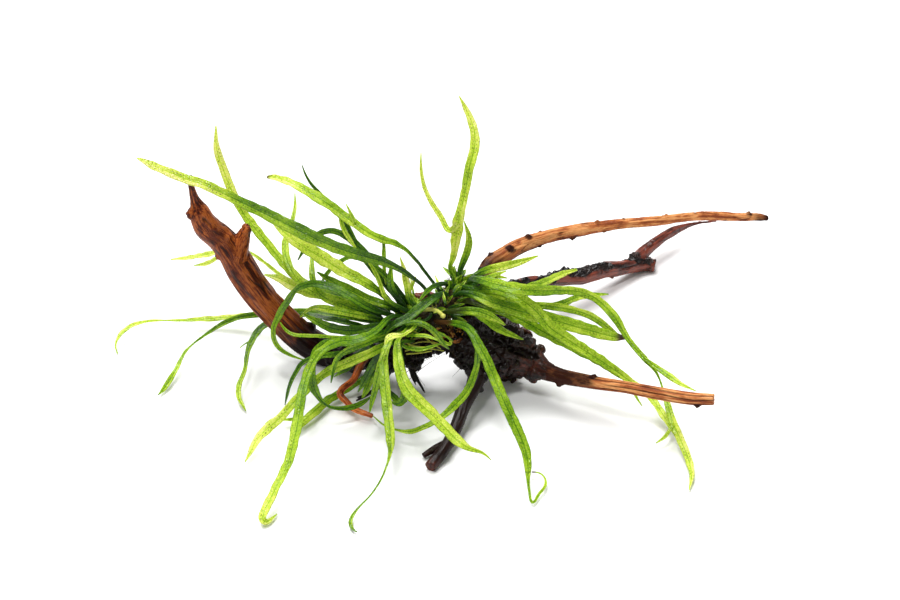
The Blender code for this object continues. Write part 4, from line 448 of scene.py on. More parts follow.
FRONT_FRONDS = (
    Frond("right_short_frond", (
        (476, 313, 42, 3.6), (492, 325, 38, 4), (507, 334, 33, 3.4), (522, 340, 28, 0.7)),
        tone=0.7, roll=-18, shades=(0.65, 0.48, 0.4), brown_and_shaded_foot=0.4),
    Frond("right_inner_frond", (
        (475, 311, 45, 3.6), (490, 316, 43, 3.6), (505, 325, 38, 0.7)),
        tone=0.4, roll=15, shades=(0.6, 0.45, 0.3), brown_and_shaded_foot=0.3),
    Frond("front_right_hanging_frond", (
        (467, 327, 46, 3), (478, 344, 44, 4), (487, 360, 40, 4), (494, 377, 35, 4.2),
        (502, 397, 30, 4.4), (510.5, 415, 25, 4.2), (519, 433, 20, 4), (525.5, 450, 15, 3.8),
        (528, 465, 11, 3), (528, 480, 7, 1.4), (530, 495, 3.5, 1), (532, 504, 1.7, 1.2),
        (538, 495, 2.2, 1.2), (546, 485, 2.6, 1.2), (544, 476, 3, 0.8), (538, 472, 3, 0.7),
        (532, 472, 2.6, 0.6)),
        lobes=((1, ((477, 365, 34, 2.6), (472, 381, 28, 2.8), (466, 393, 23, 3.2),
                    (455, 405, 18, 3.2), (443, 416, 14.5, 2.6), (430, 424, 12, 2.4),
                    (411, 432, 9, 2.2), (397, 430, 7.5, 0.9), (385, 426, 6, 0.8),
                    (373, 416, 4.5, 0.5))),),
        tone=0.7, roll=8, turn=-15, shades=(0.7, 0.47, 0.24), brown_tip=1.6, brown_and_shaded_foot=0.9),
    Frond("crown_leftward_frond", (
        (446, 293, 44, 1.8), (435, 298, 46, 3.6), (420, 309, 46, 4.2), (405, 320, 44, 4),
        (392, 330, 41, 3.2), (380, 340, 37, 0.7)),
        tone=0.8, roll=12, shades=(0.8, 0.75, 0.7)),
    Frond("crown_dark_frond", (
        (447, 284, 44, 1.6), (436, 285, 47, 2.4), (426, 291, 48, 2.2), (419, 301, 47, 0.6)),
        tone=0.9, roll=-10, shades=(0.75, 0.7, 0.6)),
    Frond("crown_yellow_frond", (
        (410, 302, 45, 2.4), (408, 291, 50, 3.2), (406, 278, 55, 2.6), (403, 266, 60, 1.6),
        (400, 257, 64, 0.4)),
        lobes=((1, ((413, 284, 52, 2), (417, 277, 55, 0.5))),),
        tone=0.12, roll=10, shades=(0.4, 0.15, 0)),
    Frond("left_teal_arching_frond", (
        (383, 280, 54, 3), (366, 255, 65, 3.2), (350, 239, 70, 3), (335, 231, 71, 2.6),
        (320, 233, 67, 2.4), (308, 243, 60, 2.4), (298, 260, 51, 0.6)),
        tone=0.95, roll=-14, shades=(0.8, 0.75, 0.6)),
    Frond("left_brown_tipped_frond", (
        (425, 272, 50, 1.5), (415, 259, 57, 1.6), (405, 249, 62, 2), (395, 243, 65, 3),
        (383, 240, 68, 3.4), (370, 234, 71, 3.6), (355, 224, 74, 3.8), (340, 213, 77, 4),
        (325, 202, 80, 4), (310, 193, 82, 4.2), (297, 186, 84, 3.8), (283, 179.5, 85, 3.6),
        (273, 177.5, 85, 3), (267, 177, 85, 1.2)),
        lobes=((7, ((342, 226, 71, 1.8), (350, 240, 65, 1.8), (357, 250, 61, 0.5))),
               (4, ((384, 255, 62, 1.8), (385, 270, 56, 1.6), (387, 284, 50, 0.5))),
               (6, ((351, 214, 79, 1.6), (346, 204, 83, 0.4)))),
        tone=0.35, roll=10, turn=-15, shades=(0.85, 0.35, 0.15), brown_tip=1.3),
    Frond("left_small_arc_frond", (
        (386, 277, 52, 2.8), (368, 262, 57, 2.8), (352, 257, 58, 2.4), (340, 262, 55, 2.2),
        (328, 272, 50, 2), (320, 286, 43, 0.5)),
        tone=0.6, roll=14, shades=(0.7, 0.6, 0.5)),
    Frond("left_upright_dark_frond", (
        (391, 290, 50, 3), (390, 278, 54, 2.8), (392, 262, 60, 0.5)),
        tone=0.85, roll=-12, shades=(0.8, 0.7, 0.55)),
    Frond("left_narrow_frond", (
        (385, 295, 48, 2.2), (381, 284, 51, 2), (374, 270, 57, 1.8), (365, 256, 62, 0.5)),
        tone=0.3, roll=16, shades=(0.6, 0.35, 0.3)),
    Frond("left_parallel_frond", (
        (386, 305, 46, 3), (368, 298, 50, 3.6), (348, 289, 54, 3.8), (330, 280, 57, 3),
        (317, 272, 60, 0.6)),
        tone=0.5, roll=-8, shades=(0.7, 0.5, 0.5)),
    Frond("left_under_frond", (
        (365, 284, 50, 4.4), (342, 271, 56, 5.4), (320, 257, 62, 6), (304, 247, 67, 5.4),
        (288, 236, 72, 4), (275, 223, 76, 2.4), (268, 215, 78, 0.6)),
        tone=0.2, roll=8, shades=(0.6, 0.22, 0.2)),
    Frond("long_left_frond", (
        (425, 287, 48, 1.5), (415, 279, 52, 1.6), (400, 269, 56, 2.6), (385, 262, 60, 3.6),
        (370, 258, 64, 4.2), (350, 252, 69, 4.6), (330, 245, 73, 5), (310, 236, 78, 5.2),
        (290, 226, 82, 5.2), (270, 216, 86, 5), (255, 209, 89, 4.4), (237, 200, 93, 4),
        (220, 192, 97, 4), (205, 185, 100, 4), (188, 180, 102, 3.8), (170, 172.5, 105, 3.8),
        (152, 165, 108, 3.2), (141, 159.5, 109.5, 1.8), (137, 158, 110, 0.6)),
        tone=0.9, roll=-10, turn=20, shades=(0.8, 0.52, 0), halves=-0.1),
    Frond("left_draped_frond", (
        (365, 302, 46, 3.4), (335, 288, 48, 3.8), (312, 284, 47, 3.4), (299, 288, 44, 3.4),
        (289, 300, 38, 3.4), (280, 314, 32, 3.2), (273, 331, 26, 2.4), (277, 346, 20, 2),
        (290, 355, 17, 1.4), (304, 360, 15, 0.4)),
        tone=0.75, roll=10, shades=(0.75, 0.7, 0.4)),
    Frond("left_short_frond", (
        (350, 313, 43, 3), (327, 309, 41, 3), (312, 308, 38, 2), (300, 317, 33, 0.5)),
        tone=0.3, roll=-14, shades=(0.6, 0.4, 0.2)),
    Frond("left_low_frond", (
        (372, 329, 38, 3), (355, 331, 37, 3.6), (335, 329, 34, 4), (318, 322, 31, 3.2),
        (303, 314, 28, 0.7)),
        tone=0.75, roll=-10, shades=(0.8, 0.7, 0.5)),
    Frond("left_thin_looping_frond", (
        (368, 338, 37, 1.4), (345, 338, 35, 1.8), (315, 336, 30, 1.8), (295, 335, 28, 1.6),
        (285, 330, 29, 1.4), (280, 322, 32, 0.4)),
        tone=0.3, roll=8, shades=(0.6, 0.4, 0.4)),
    Frond("front_left_yellow_frond", (
        (372, 352, 37, 3.4), (350, 362, 33, 3.8), (324, 374, 28, 3.4), (308, 388, 23, 3.4),
        (294, 402, 18.5, 3.4), (280, 418, 13.5, 3.6), (268, 428, 10, 4), (258, 438, 7, 3.2),
        (252, 449, 4.5, 2.4), (245, 462, 1.7, 0.4)),
        lobes=((5, ((272, 420, 12, 1.6), (265, 424, 10.5, 0.4))),),
        tone=0.15, roll=-10, shades=(0.55, 0.3, 0.02)),
    Frond("front_left_thin_frond", (
        (350, 351, 36, 2.2), (322, 356, 32, 2.2), (303, 362, 27, 2), (296, 372, 22, 1.8),
        (290, 384, 17, 1.6), (287, 395, 13, 1.2), (285, 405, 10, 0.4)),
        tone=0.7, roll=-8, shades=(0.7, 0.7, 0.7)),
    Frond("front_left_looped_frond", (
        (355, 344, 41, 3.2), (335, 342, 39, 3.2), (320, 346, 35, 3), (313, 360, 29, 3.2),
        (312, 375, 23, 3.6), (314, 388, 17, 3.8), (320, 399, 12, 2), (327, 406, 9.5, 1),
        (335, 408, 8.5, 1.6), (348, 408, 8, 2.4), (360, 404, 8, 2.4), (372, 396, 9, 0.5)),
        tone=0.75, roll=10, turn=20, shades=(0.65, 0.6, 0.6)),
    Frond("front_left_short_frond", (
        (365, 344, 41, 2), (347, 350, 37, 2.2), (336, 360, 32, 2), (333, 371, 28, 1.6),
        (331, 383, 24, 0.4)),
        tone=0.5, roll=-12, shades=(0.6, 0.55, 0.5)),
    Frond("front_left_hanging_frond", (
        (368, 337, 44, 3.4), (355, 340, 44, 4), (337, 342, 42, 4), (317, 355, 38, 4),
        (306, 378, 32, 3.8), (301, 400, 27.5, 4.2), (298, 423, 22.5, 4.4), (293, 445, 18, 4.2),
        (288, 464, 14, 3.8), (279, 482, 10, 3.8), (270, 500, 6.5, 3.8), (263, 515, 3.6, 3.6),
        (264, 523, 2.4, 2.6), (270, 520, 2, 1.6), (277, 514, 1.6, 0.4)),
        tone=0.6, roll=8, turn=-10, shades=(0.65, 0.5, 0.12)),
    Frond("crown_rightward_frond", (
        (404, 328, 44, 1.4), (412, 325, 47, 2.2), (425, 327, 47, 2.6), (435, 334, 44, 2.4),
        (442, 343, 40, 2), (449, 349, 36, 0.5)),
        lobes=((3, ((446, 338, 41, 1.4), (453, 343, 38, 0.4))),),
        tone=0.65, roll=10, shades=(0.6, 0.6, 0.5)),
    Frond("crown_small_frond_upper", (
        (405, 337, 42, 1.2), (418, 337, 44, 1.8), (430, 338, 42, 1.6), (438, 341, 39, 0.4)),
        tone=0.4, roll=-14, shades=(0.5, 0.4, 0.3)),
    Frond("crown_small_frond_lower", (
        (404, 345, 38, 1.2), (418, 349, 38, 1.8), (430, 347, 36, 1.4), (442, 343, 34, 0.4)),
        tone=0.5, roll=14, shades=(0.6, 0.5, 0.4)),
    Frond("front_curled_frond", (
        (400, 344, 40, 1.6), (400, 358, 38, 3), (402, 374, 32, 3.4), (404, 387, 26, 3.4),
        (405, 396, 22, 3.2), (400, 404, 18.5, 3), (391, 402, 18, 0.6)),
        tone=0.8, roll=-10, shades=(0.7, 0.75, 0.6)),
    Frond("front_glossy_frond", (
        (394, 338, 42, 1.8), (387, 348, 42, 3), (384, 362, 38, 4), (385, 382, 33, 4.4),
        (387, 402, 28, 4.6), (389, 420, 23.5, 4), (391, 440, 19, 3.6), (391, 450, 16, 2),
        (388, 462, 13, 0.9), (381, 480, 9, 0.8), (370, 496, 6, 0.7), (360, 506, 4, 0.8),
        (352, 516, 2.7, 1.4), (350, 524, 2, 1.6), (353, 530, 1.6, 0.9), (357, 532, 1.4, 0.4)),
        lobes=((1, ((382, 361, 38.5, 2.6), (378, 377, 32.5, 3), (375, 391, 27, 2.6),
                    (372, 403, 22.5, 1.8), (370, 413, 19.5, 0.5))),),
        tone=0.45, roll=14, turn=-20, shades=(0.5, 0.36, 0.45)),
    Frond("front_bright_frond", (
        (398, 340, 44, 1.8), (397, 352, 44, 3.4), (399, 368, 40.5, 4.6), (405, 386, 35.5, 5),
        (416, 400, 31.5, 5), (432, 415, 27, 5.2), (446, 429, 23, 4.8), (457, 440, 20, 4.2),
        (470, 449, 17.4, 2.2), (482, 452, 15.4, 1.4), (491, 460, 12.4, 0.4)),
        tone=0.25, roll=-8, shades=(0.4, 0.35, 0.15)),
    Frond("crown_pale_blade", (
        (401, 335, 44, 1.8), (394, 335, 46.4, 3.2), (388, 338, 46.8, 2.8), (385, 345, 45.4, 0.7)),
        tone=0.1, roll=8, shades=(0.3, 0.12, 0.1)),
)


# --------------------------------------------------------------------------
# Smooth routes, and how the fronds make room for each other
# --------------------------------------------------------------------------

def smooth_route(knots: list[Vector], widths: list[float],
                 step: float) -> tuple[np.ndarray, np.ndarray, np.ndarray]:
    """Puts a smooth curve through the knots.

    Args:
        knots: the points that the curve passes through.
        widths: the width at each knot.
        step: the distance between samples.

    Returns:
        The samples' points, their widths and their distances along the curve.
    """
    track, track_widths = [knots[0]], [widths[0]]
    last = len(knots) - 1
    for index in range(last):
        start, end = knots[index], knots[index + 1]
        before = knots[max(index - 1, 0)]
        after = knots[min(index + 2, last)]
        reach = (end - start).length / 3
        lead_out = start + (end - before).normalized() * reach
        lead_in = end - (after - start).normalized() * reach
        piece = interpolate_bezier(start, lead_out, lead_in, end, CURVE_STEPS + 1)
        for count, point in enumerate(piece[1:], 1):
            share = count / CURVE_STEPS
            track.append(point)
            track_widths.append(widths[index] * (1 - share) + widths[index + 1] * share)
    track = np.array([tuple(point) for point in track])
    steps = np.linalg.norm(np.diff(track, axis=0), axis=1)
    along = np.concatenate([[0.0], np.cumsum(steps)])
    count = max(4, int(round(along[-1] / step)) + 1)
    even = np.linspace(0.0, along[-1], count)
    return resampled(even, along, track), np.interp(even, along, track_widths), even


class Strand:
    """One smooth run of a frond or a limb, as samples seen from the viewpoint."""

    def __init__(self, name: str, family: str, knots: list[Vector], widths: list[float],
                 root: float = STALK_ROOT, stalk: float = STALK_LENGTH) -> None:
        """Samples the curve through the knots.

        Args:
            name: the strand's own name.
            family: the piece that it belongs to; strands of one family may meet.
            knots: the points that it passes through.
            widths: its width at each knot.
            root: how far from its start it is held.
            stalk: how much of its start counts as stalk.
        """
        self.name = name
        self.family = family
        self.start, self.widths, self.along = smooth_route(knots, widths, SAMPLE_STEP)
        relative = self.start - np.array(EYE)
        depth = relative @ np.array(VIEW_FORWARD)
        self.lines = relative / depth[:, None]
        self.across = self.lines @ np.array(VIEW_RIGHT) * FOCAL_PX
        self.down = -self.lines @ np.array(VIEW_UP) * FOCAL_PX
        self.half_px = self.widths / 2 * FOCAL_PX / depth
        self.shift = np.zeros_like(self.start)
        self.fixed = False
        self.parent: Strand | None = None
        self.fork = 0
        self.is_stalk = self.along < stalk
        self.freedom = np.clip(self.along / root, 0, 1)
        apart = self.along[:, None] - self.along[None, :]
        self.bend = np.exp(-(apart / BEND_LENGTH) ** 2)

    def at(self, place: float) -> Vector:
        """The unmoved point at one place along the strand."""
        return Vector(resampled(np.array([place]), self.along, self.start)[0])

    def way_at(self, place: float) -> Vector:
        """The unmoved direction at one place along the strand."""
        ways = resampled(np.array([place]), self.along, headings(self.start))
        return Vector(ways[0]).normalized()

    def radius_at(self, place: float) -> float:
        """The radius at one place along the strand."""
        return float(np.interp(place, self.along, self.widths)) / 2

    def outward_at(self, place: float, turn: float, up: Vector = UP) -> Vector:
        """A direction square to the strand at one place, turned round it from the side."""
        way = self.way_at(place)
        side = way.cross(up).normalized()
        return side * math.cos(turn) + side.cross(way) * math.sin(turn)

    def vectors(self) -> list[Vector]:
        """The unmoved samples as vectors."""
        return [Vector(point) for point in self.start]

    def carried(self) -> np.ndarray:
        """How far each sample has moved, with the parent's move at the fork."""
        if self.parent is None:
            return self.shift
        return self.shift + self.parent.carried()[self.fork]

    def points(self) -> np.ndarray:
        """World points of the samples, where they are now."""
        return self.start + self.carried()

    def depths(self) -> np.ndarray:
        """Depth of each sample along the view."""
        return (self.points() - np.array(EYE)) @ np.array(VIEW_FORWARD)

    def give_way(self, push: np.ndarray, smoothing: float) -> None:
        """Moves by a push at some samples, eased into a smooth bend.

        Args:
            push: the push on each sample.
            smoothing: how strongly the moves are evened out along the strand.
        """
        strength = self.bend * np.linalg.norm(push, axis=1)[None, :]
        source = strength.argmax(axis=1)
        ease = self.bend[np.arange(len(source)), source] * self.freedom
        self.shift = self.shift + SETTLING_RATE * ease[:, None] * push[source]
        inner = self.shift[1:-1] * (1 - smoothing)
        self.shift[1:-1] = inner + (self.shift[:-2] + self.shift[2:]) * (smoothing / 2)
        size = np.linalg.norm(self.shift, axis=1)
        self.shift *= np.minimum(1, LARGEST_SHIFT / np.maximum(size, LARGEST_SHIFT))[:, None]

    def keep_off_ground(self) -> None:
        """Moves nearer the eye where the strand would go into the ground."""
        low = TIP_CLEARANCE + self.widths * LEVEL_SHARE - self.points()[:, 2]
        sunk = np.clip(low, 0, None) / -self.lines[:, 2]
        lift = (self.bend * sunk[None, :]).max(axis=1)
        self.shift = self.shift - self.lines * lift[:, None]


def limb_strand(name: str, route: Route) -> Strand:
    """A limb's samples, which don't move."""
    strand = Strand(name, name, *picked(route))
    strand.fixed = True
    return strand


def lump_strand(name: str, across: float, down: float, height: float, width: float) -> Strand:
    """A lump's samples, as a very short limb."""
    near, far = (across - 0.5, down, height, width), (across + 0.5, down, height, width)
    return limb_strand(name, (near, far))


@dataclass
class Settling:
    """Finds each frond's place.

    A frond keeps its place in the picture and moves nearer or further until
    nothing touches.  Later strands of the order pass in front of earlier ones.

    Args:
        order: every strand, from the rearmost to the nearest.
    """

    order: list[Strand]

    def crossings(self) -> list[tuple]:
        """Sample pairs that overlap in the picture, with the depth they need between them."""
        found = []
        for front_index, front in enumerate(self.order):
            for rear in self.order[:front_index]:
                if rear.family == front.family or (rear.fixed and front.fixed):
                    continue
                apart = np.hypot(rear.across[:, None] - front.across[None, :],
                                 rear.down[:, None] - front.down[None, :])
                close = apart < rear.half_px[:, None] + front.half_px[None, :] + CROSSING_MARGIN_PX
                if not rear.fixed:
                    close &= ~rear.is_stalk[:, None]
                if not front.fixed:
                    close &= ~front.is_stalk[None, :]
                rear_at, front_at = np.nonzero(close)
                if len(rear_at) == 0:
                    continue
                need = np.full(len(rear_at), CROSSING_GAP)
                for strand, at, other, other_at in (
                        (rear, rear_at, front, front_at), (front, front_at, rear, rear_at)):
                    half = strand.widths[at] / 2
                    if strand.fixed:
                        off_px = apart[rear_at, front_at] - other.half_px[other_at]
                        off = np.clip(off_px / strand.half_px[at], 0, 1)
                        need = need + half * LIMB_ROOM * np.sqrt(1 - off ** 2)
                    else:
                        need = need + half * CROSSING_TILT
                found.append((rear, rear_at, front, front_at, need))
        return found

    def near_pairs(self, at_crown: bool) -> list[tuple]:
        """Sample pairs that lie near each other, with the room that they need.

        Args:
            at_crown: whether only pairs with one of the two in a stalk are wanted.

        Returns:
            The pairs, with the room across the view and along it.
        """
        found = []
        for index, one in enumerate(self.order):
            for other in self.order[:index]:
                if one.family == other.family or (one.fixed and other.fixed):
                    continue
                halves = one.widths[:, None] / 2 + other.widths[None, :] / 2
                apart = np.linalg.norm(one.points()[:, None] - other.points()[None, :], axis=2)
                close = apart < halves + NEAR_REACH
                if one.fixed or other.fixed:
                    off_scar = other.along > SCAR_REACH if one.fixed else one.along > SCAR_REACH
                    close &= off_scar[None, :] if one.fixed else off_scar[:, None]
                elif at_crown:
                    close &= one.is_stalk[:, None] | other.is_stalk[None, :]
                one_at, other_at = np.nonzero(close)
                if len(one_at) == 0:
                    continue
                room_across = np.full(len(one_at), SIDE_GAP)
                room_along = np.full(len(one_at), CROSSING_GAP)
                for strand, at in ((one, one_at), (other, other_at)):
                    half = strand.widths[at] / 2
                    room_across += half * (LIMB_ROOM if strand.fixed else 1)
                    room_along += half * (LIMB_ROOM if strand.fixed else CROSSING_TILT)
                found.append((one, one_at, other, other_at, room_across, room_along))
        return found

    @staticmethod
    def parting_push(between: np.ndarray, lines: np.ndarray, room_across: np.ndarray,
                     room_along: np.ndarray) -> np.ndarray:
        """The push that takes a point out of an oval room round another."""
        along = (between * lines).sum(axis=1) + 0.01 * MM
        across = between - lines * along[:, None]
        reach = np.hypot(np.linalg.norm(across, axis=1) / room_across, along / room_along)
        slope = across / room_across[:, None] ** 2 + lines * (along / room_along ** 2)[:, None]
        steep = (slope ** 2).sum(axis=1)
        size = np.clip(1 - reach, 0, None) * reach / steep
        return slope * size[:, None]

    @staticmethod
    def shares(one: Strand, other: Strand) -> tuple[float, float]:
        """How two strands share the move that they need: a fixed one doesn't give way."""
        if one.fixed:
            return 0.0, 1.0
        return (1.0, 0.0) if other.fixed else (0.5, 0.5)

    def order_pushes(self, crossing: list[tuple], depths: dict, pushes: dict) -> None:
        """Adds the pushes that set crossing fronds in order along the view."""
        for rear, rear_at, front, front_at, need in crossing:
            short = need - (depths[rear.name][rear_at] - depths[front.name][front_at])
            short = np.clip(short, 0, None)
            shares = self.shares(rear, front)
            for strand, at, share in zip((rear, front), (rear_at, front_at), shares):
                worst = np.zeros(len(strand.along))
                np.maximum.at(worst, at, short * share)
                far, near = pushes[strand.name][:2]
                side = far if strand is rear else near
                np.maximum(side, worst, out=side)

    def parting_pushes(self, near: list[tuple], places: dict, pushes: dict) -> None:
        """Adds the pushes that part strands that are too near each other."""
        for one, one_at, other, other_at, room_across, room_along in near:
            between = places[one.name][one_at] - places[other.name][other_at]
            push = self.parting_push(between, one.lines[one_at], room_across, room_along)
            pressed = np.linalg.norm(push, axis=1) > 0
            shares = self.shares(one, other)
            for strand, at, share in zip((one, other), (one_at, other_at), shares):
                _, _, aside, count = pushes[strand.name]
                np.add.at(aside, at, push * (share if strand is one else -share))
                np.add.at(count, at, pressed)

    def settle(self) -> None:
        """Moves the fronds until they are clear of each other and of the wood."""
        crossing = self.crossings()
        moving = [strand for strand in self.order if not strand.fixed]
        for stage in range(ORDER_STAGES + PARTING_STAGES):
            ordering = stage < ORDER_STAGES
            near = self.near_pairs(at_crown=ordering)
            for _ in range(STAGE_ROUNDS):
                places = {strand.name: strand.points() for strand in self.order}
                depths = {strand.name: strand.depths() for strand in self.order}
                pushes = {}
                for strand in self.order:
                    count = len(strand.along)
                    pushes[strand.name] = (np.zeros(count), np.zeros(count),
                                           np.zeros((count, 3)), np.zeros(count))
                if ordering:
                    self.order_pushes(crossing, depths, pushes)
                self.parting_pushes(near, places, pushes)
                for strand in moving:
                    far, close, aside, count = pushes[strand.name]
                    push = (far - close)[:, None] * strand.lines
                    push += aside / np.maximum(count, 1)[:, None]
                    strand.give_way(push, SMOOTHING if ordering else 0.0)
                    strand.keep_off_ground()


@dataclass
class Scars:
    """The leaf scars round the rhizome, from which the stalks rise.

    Args:
        rhizome: the rhizome's samples.
    """

    rhizome: Strand

    def places(self) -> list[tuple[Vector, Vector]]:
        """Free points round the rhizome, each with its outward direction."""
        scars = []
        rhizome = self.rhizome
        stagger = SCAR_ANGLES_DEG[1] - SCAR_ANGLES_DEG[0]
        count = int((rhizome.along[-1] - SCAR_MARGIN) / SCAR_SPACING)
        for ring in range(count):
            place = FIRST_SCAR + ring * SCAR_SPACING
            centre = rhizome.at(place)
            forward = (rhizome.at(place + 1 * MM) - centre).normalized()
            side = forward.cross(UP).normalized()
            top = side.cross(forward).normalized()
            radius = rhizome.radius_at(place)
            for angle in SCAR_ANGLES_DEG:
                turn = math.radians(angle + (stagger / 2 if ring % 2 else 0))
                outward = top * math.cos(turn) + side * math.sin(turn)
                scars.append((centre + outward * (radius * SCAR_RISE + GAP), outward))
        return scars

    def share_out(self, targets: list[Vector]) -> list[tuple[Vector, Vector]]:
        """Gives each frond a scar, so that the stalks run straight and don't cross.

        Args:
            targets: where each frond's blade begins.

        Returns:
            The scar of each frond.
        """
        def cost(target: Vector, scar: tuple[Vector, Vector]) -> float:
            """How long and how bent the stalk would be."""
            place, outward = scar
            way = target - place
            most, less = SCAR_BEND_COST
            return way.length ** 2 * (most - less * outward.dot(way.normalized()))

        free = self.places()
        given = []
        for target in targets:
            best = min(free, key=lambda scar: cost(target, scar))
            free.remove(best)
            given.append(best)
        for _ in range(SWAP_ROUNDS):
            for one, target in enumerate(targets):
                for other in range(one):
                    now = cost(target, given[one]) + cost(targets[other], given[other])
                    swapped = cost(target, given[other]) + cost(targets[other], given[one])
                    if swapped < now:
                        given[one], given[other] = given[other], given[one]
                best = min(free, key=lambda scar: cost(target, scar))
                if cost(target, best) < cost(target, given[one]):
                    free.append(given[one])
                    free.remove(best)
                    given[one] = best
        return given


def frond_strands(frond: Frond, scar: tuple[Vector, Vector]) -> list[Strand]:
    """The samples of a frond's blade, then of each lobe.

    Args:
        frond: the frond.
        scar: the place on the rhizome and its outward direction.

    Returns:
        The blade's strand and the lobes' strands.
    """
    knots, widths = picked(frond.route)
    place, outward = scar
    lead = min(STALK_LEAD, (knots[0] - place).length * LEAD_SHARE)
    knots = [place, place + outward * lead] + knots
    widths = [SCAR_WIDTH, min(widths[0], STALK_WIDTH)] + widths
    blade = Strand(frond.name, frond.name, knots, widths)
    strands = [blade]
    for number, (index, route) in enumerate(frond.lobes, 1):
        fork_knot = np.array(knots[index + 2])
        fork = int(np.argmin(np.linalg.norm(blade.start - fork_knot, axis=1)))
        lobe_knots, lobe_widths = picked(route)
        lobe_knots = [Vector(blade.start[fork])] + lobe_knots
        lobe_widths = [LOBE_FOOT_SHARE * blade.widths[fork]] + lobe_widths
        lobe_name = f"{frond.name}_lobe_{number}"
        lobe = Strand(lobe_name, frond.name, lobe_knots, lobe_widths, LOBE_ROOT, 0)
        lobe.parent = blade
        lobe.fork = fork
        strands.append(lobe)
    return strands


def settled_fronds() -> list[tuple[Frond, list[Strand]]]:
    """Every frond with its strands, once they have all made room."""
    rhizome = limb_strand("rhizome", RHIZOME)
    every = BEHIND_ARM + MIDDLE_REAR + RIGHT_FRONDS + FRONT_FRONDS + BEHIND_TWIG
    given = Scars(rhizome).share_out([spot(*frond.route[0][:3]) for frond in every])
    groups = {frond.name: frond_strands(frond, scar) for frond, scar in zip(every, given)}

    def strands(fronds: tuple[Frond, ...]) -> list[Strand]:
        """The strands of some of the fronds, in their order."""
        return [strand for frond in fronds for strand in groups[frond.name]]

    def limbs(**routes: Route) -> list[Strand]:
        """The samples of some limbs, in their order."""
        return [limb_strand(name, route) for name, route in routes.items()]

    order = limbs(rear_lower=REAR_LOWER_BRANCH, rear_fork=REAR_LOWER_FORK,
                  rear_upper=REAR_UPPER_BRANCH)
    order += strands(BEHIND_ARM)
    order += limbs(left_arm=LEFT_ARM, arm_stub=LEFT_ARM_STUB)
    order += strands(MIDDLE_REAR)
    order += limbs(hub=HUB_SPINE) + [rhizome]
    order += [lump_strand(f"lump_{number}", *lump) for number, lump in enumerate(HUB_LUMPS)]
    order += strands(RIGHT_FRONDS + BEHIND_TWIG)
    order += limbs(front_right=FRONT_RIGHT_BRANCH, front_leg=FRONT_LEG, toe=FRONT_LEG_TOE,
                   red_twig=RED_TWIG, dark_twig=DARK_TWIG, root_twig=ROOT_TWIG,
                   young_shoot=YOUNG_SHOOT)
    order += strands(FRONT_FRONDS)
    Settling(order).settle()
    return [(frond, groups[frond.name]) for frond in every]


# --------------------------------------------------------------------------
# Meshes
# --------------------------------------------------------------------------

def smoothstep(low: float, high: float, value: float) -> float:
    """Rises smoothly from 0 at low to 1 at high."""
    share = min(max((value - low) / (high - low), 0.0), 1.0)
    return share * share * (3 - 2 * share)


def eased(values: np.ndarray, rounds: int) -> np.ndarray:
    """Evens out a run of values, with its ends kept."""
    values = values.copy()
    for _ in range(rounds):
        values[1:-1] = values[1:-1] * 0.5 + (values[:-2] + values[2:]) * 0.25
    return values


def tube(bm: BMesh, stations: int, sides: int, shape: Callable[..., None]) -> None:
    """Rolls a grid up into a closed tube.

    Args:
        bm: the mesh that it is added to.
        stations: how many sections it has.
        sides: how many points each section has.
        shape: called with each vertex, its section and its angle; it places the vertex.
    """
    grown = bmesh.ops.create_grid(bm, x_segments=sides, y_segments=stations - 1, size=0.5)["verts"]
    for vert in grown:
        section = int(round((vert.co.y + 0.5) * (stations - 1)))
        angle = (vert.co.x + 0.5) * math.tau
        shape(vert, section, angle)
    rims = [edge for vert in grown for edge in vert.link_edges if edge.is_boundary]
    in_order = dict.fromkeys(vert for edge in rims for vert in edge.verts)
    bmesh.ops.remove_doubles(bm, verts=list(in_order), dist=SEAM_GAP)
    ends = [edge for edge in bm.edges if edge.is_boundary]
    bmesh.ops.holes_fill(bm, edges=ends, sides=0)


def blank_mesh(floats: tuple[str, ...] = ("tint",), vector: str = "") -> BMesh:
    """An empty mesh that keeps values at its points.

    Args:
        floats: the names of the plain values.
        vector: the name of the vector, if it has one.

    Returns:
        The mesh.
    """
    bm = bmesh.new()
    if vector:
        bm.verts.layers.float_vector.new(vector)
    for name in floats:
        bm.verts.layers.float.new(name)
    return bm


def leaf_mesh() -> BMesh:
    """An empty mesh with a leaf's values."""
    return blank_mesh(("tone", "brown"), "blade")


def make_piece(name: str, bm: BMesh, material: Material) -> Object:
    """Turns a bmesh into a smooth-shaded object at the origin."""
    bmesh.ops.recalc_face_normals(bm, faces=bm.faces)
    for face in bm.faces:
        face.smooth = True
    mesh = bpy.data.meshes.new(name)
    bm.to_mesh(mesh)
    bm.free()
    mesh.materials.append(material)
    item = bpy.data.objects.new(name, mesh)
    bpy.context.scene.collection.objects.link(item)
    return item


def remeshed(bm: BMesh, voxel: float) -> BMesh:
    """Melts overlapping solids into one skin of small even faces.

    Args:
        bm: the solids; it is used up.
        voxel: the size of the new faces.

    Returns:
        The new mesh.
    """
    bmesh.ops.recalc_face_normals(bm, faces=bm.faces)
    rough = bpy.data.meshes.new("rough")
    bm.to_mesh(rough)
    bm.free()
    item = bpy.data.objects.new("rough", rough)
    bpy.context.scene.collection.objects.link(item)
    modifier = item.modifiers.new("melt", "REMESH")
    modifier.mode = "VOXEL"
    modifier.voxel_size = voxel
    modifier.adaptivity = 0.0
    skin = item.evaluated_get(bpy.context.evaluated_depsgraph_get()).to_mesh()
    melted = bmesh.new()
    melted.from_mesh(skin)
    bpy.data.objects.remove(item)
    bpy.data.meshes.remove(rough)
    return melted


def kept_in(point: Vector, box: tuple) -> Vector:
    """The point, or the nearest one that is still inside a box."""
    low, high = box
    return Vector([min(max(value, low[axis]), high[axis]) for axis, value in enumerate(point)])


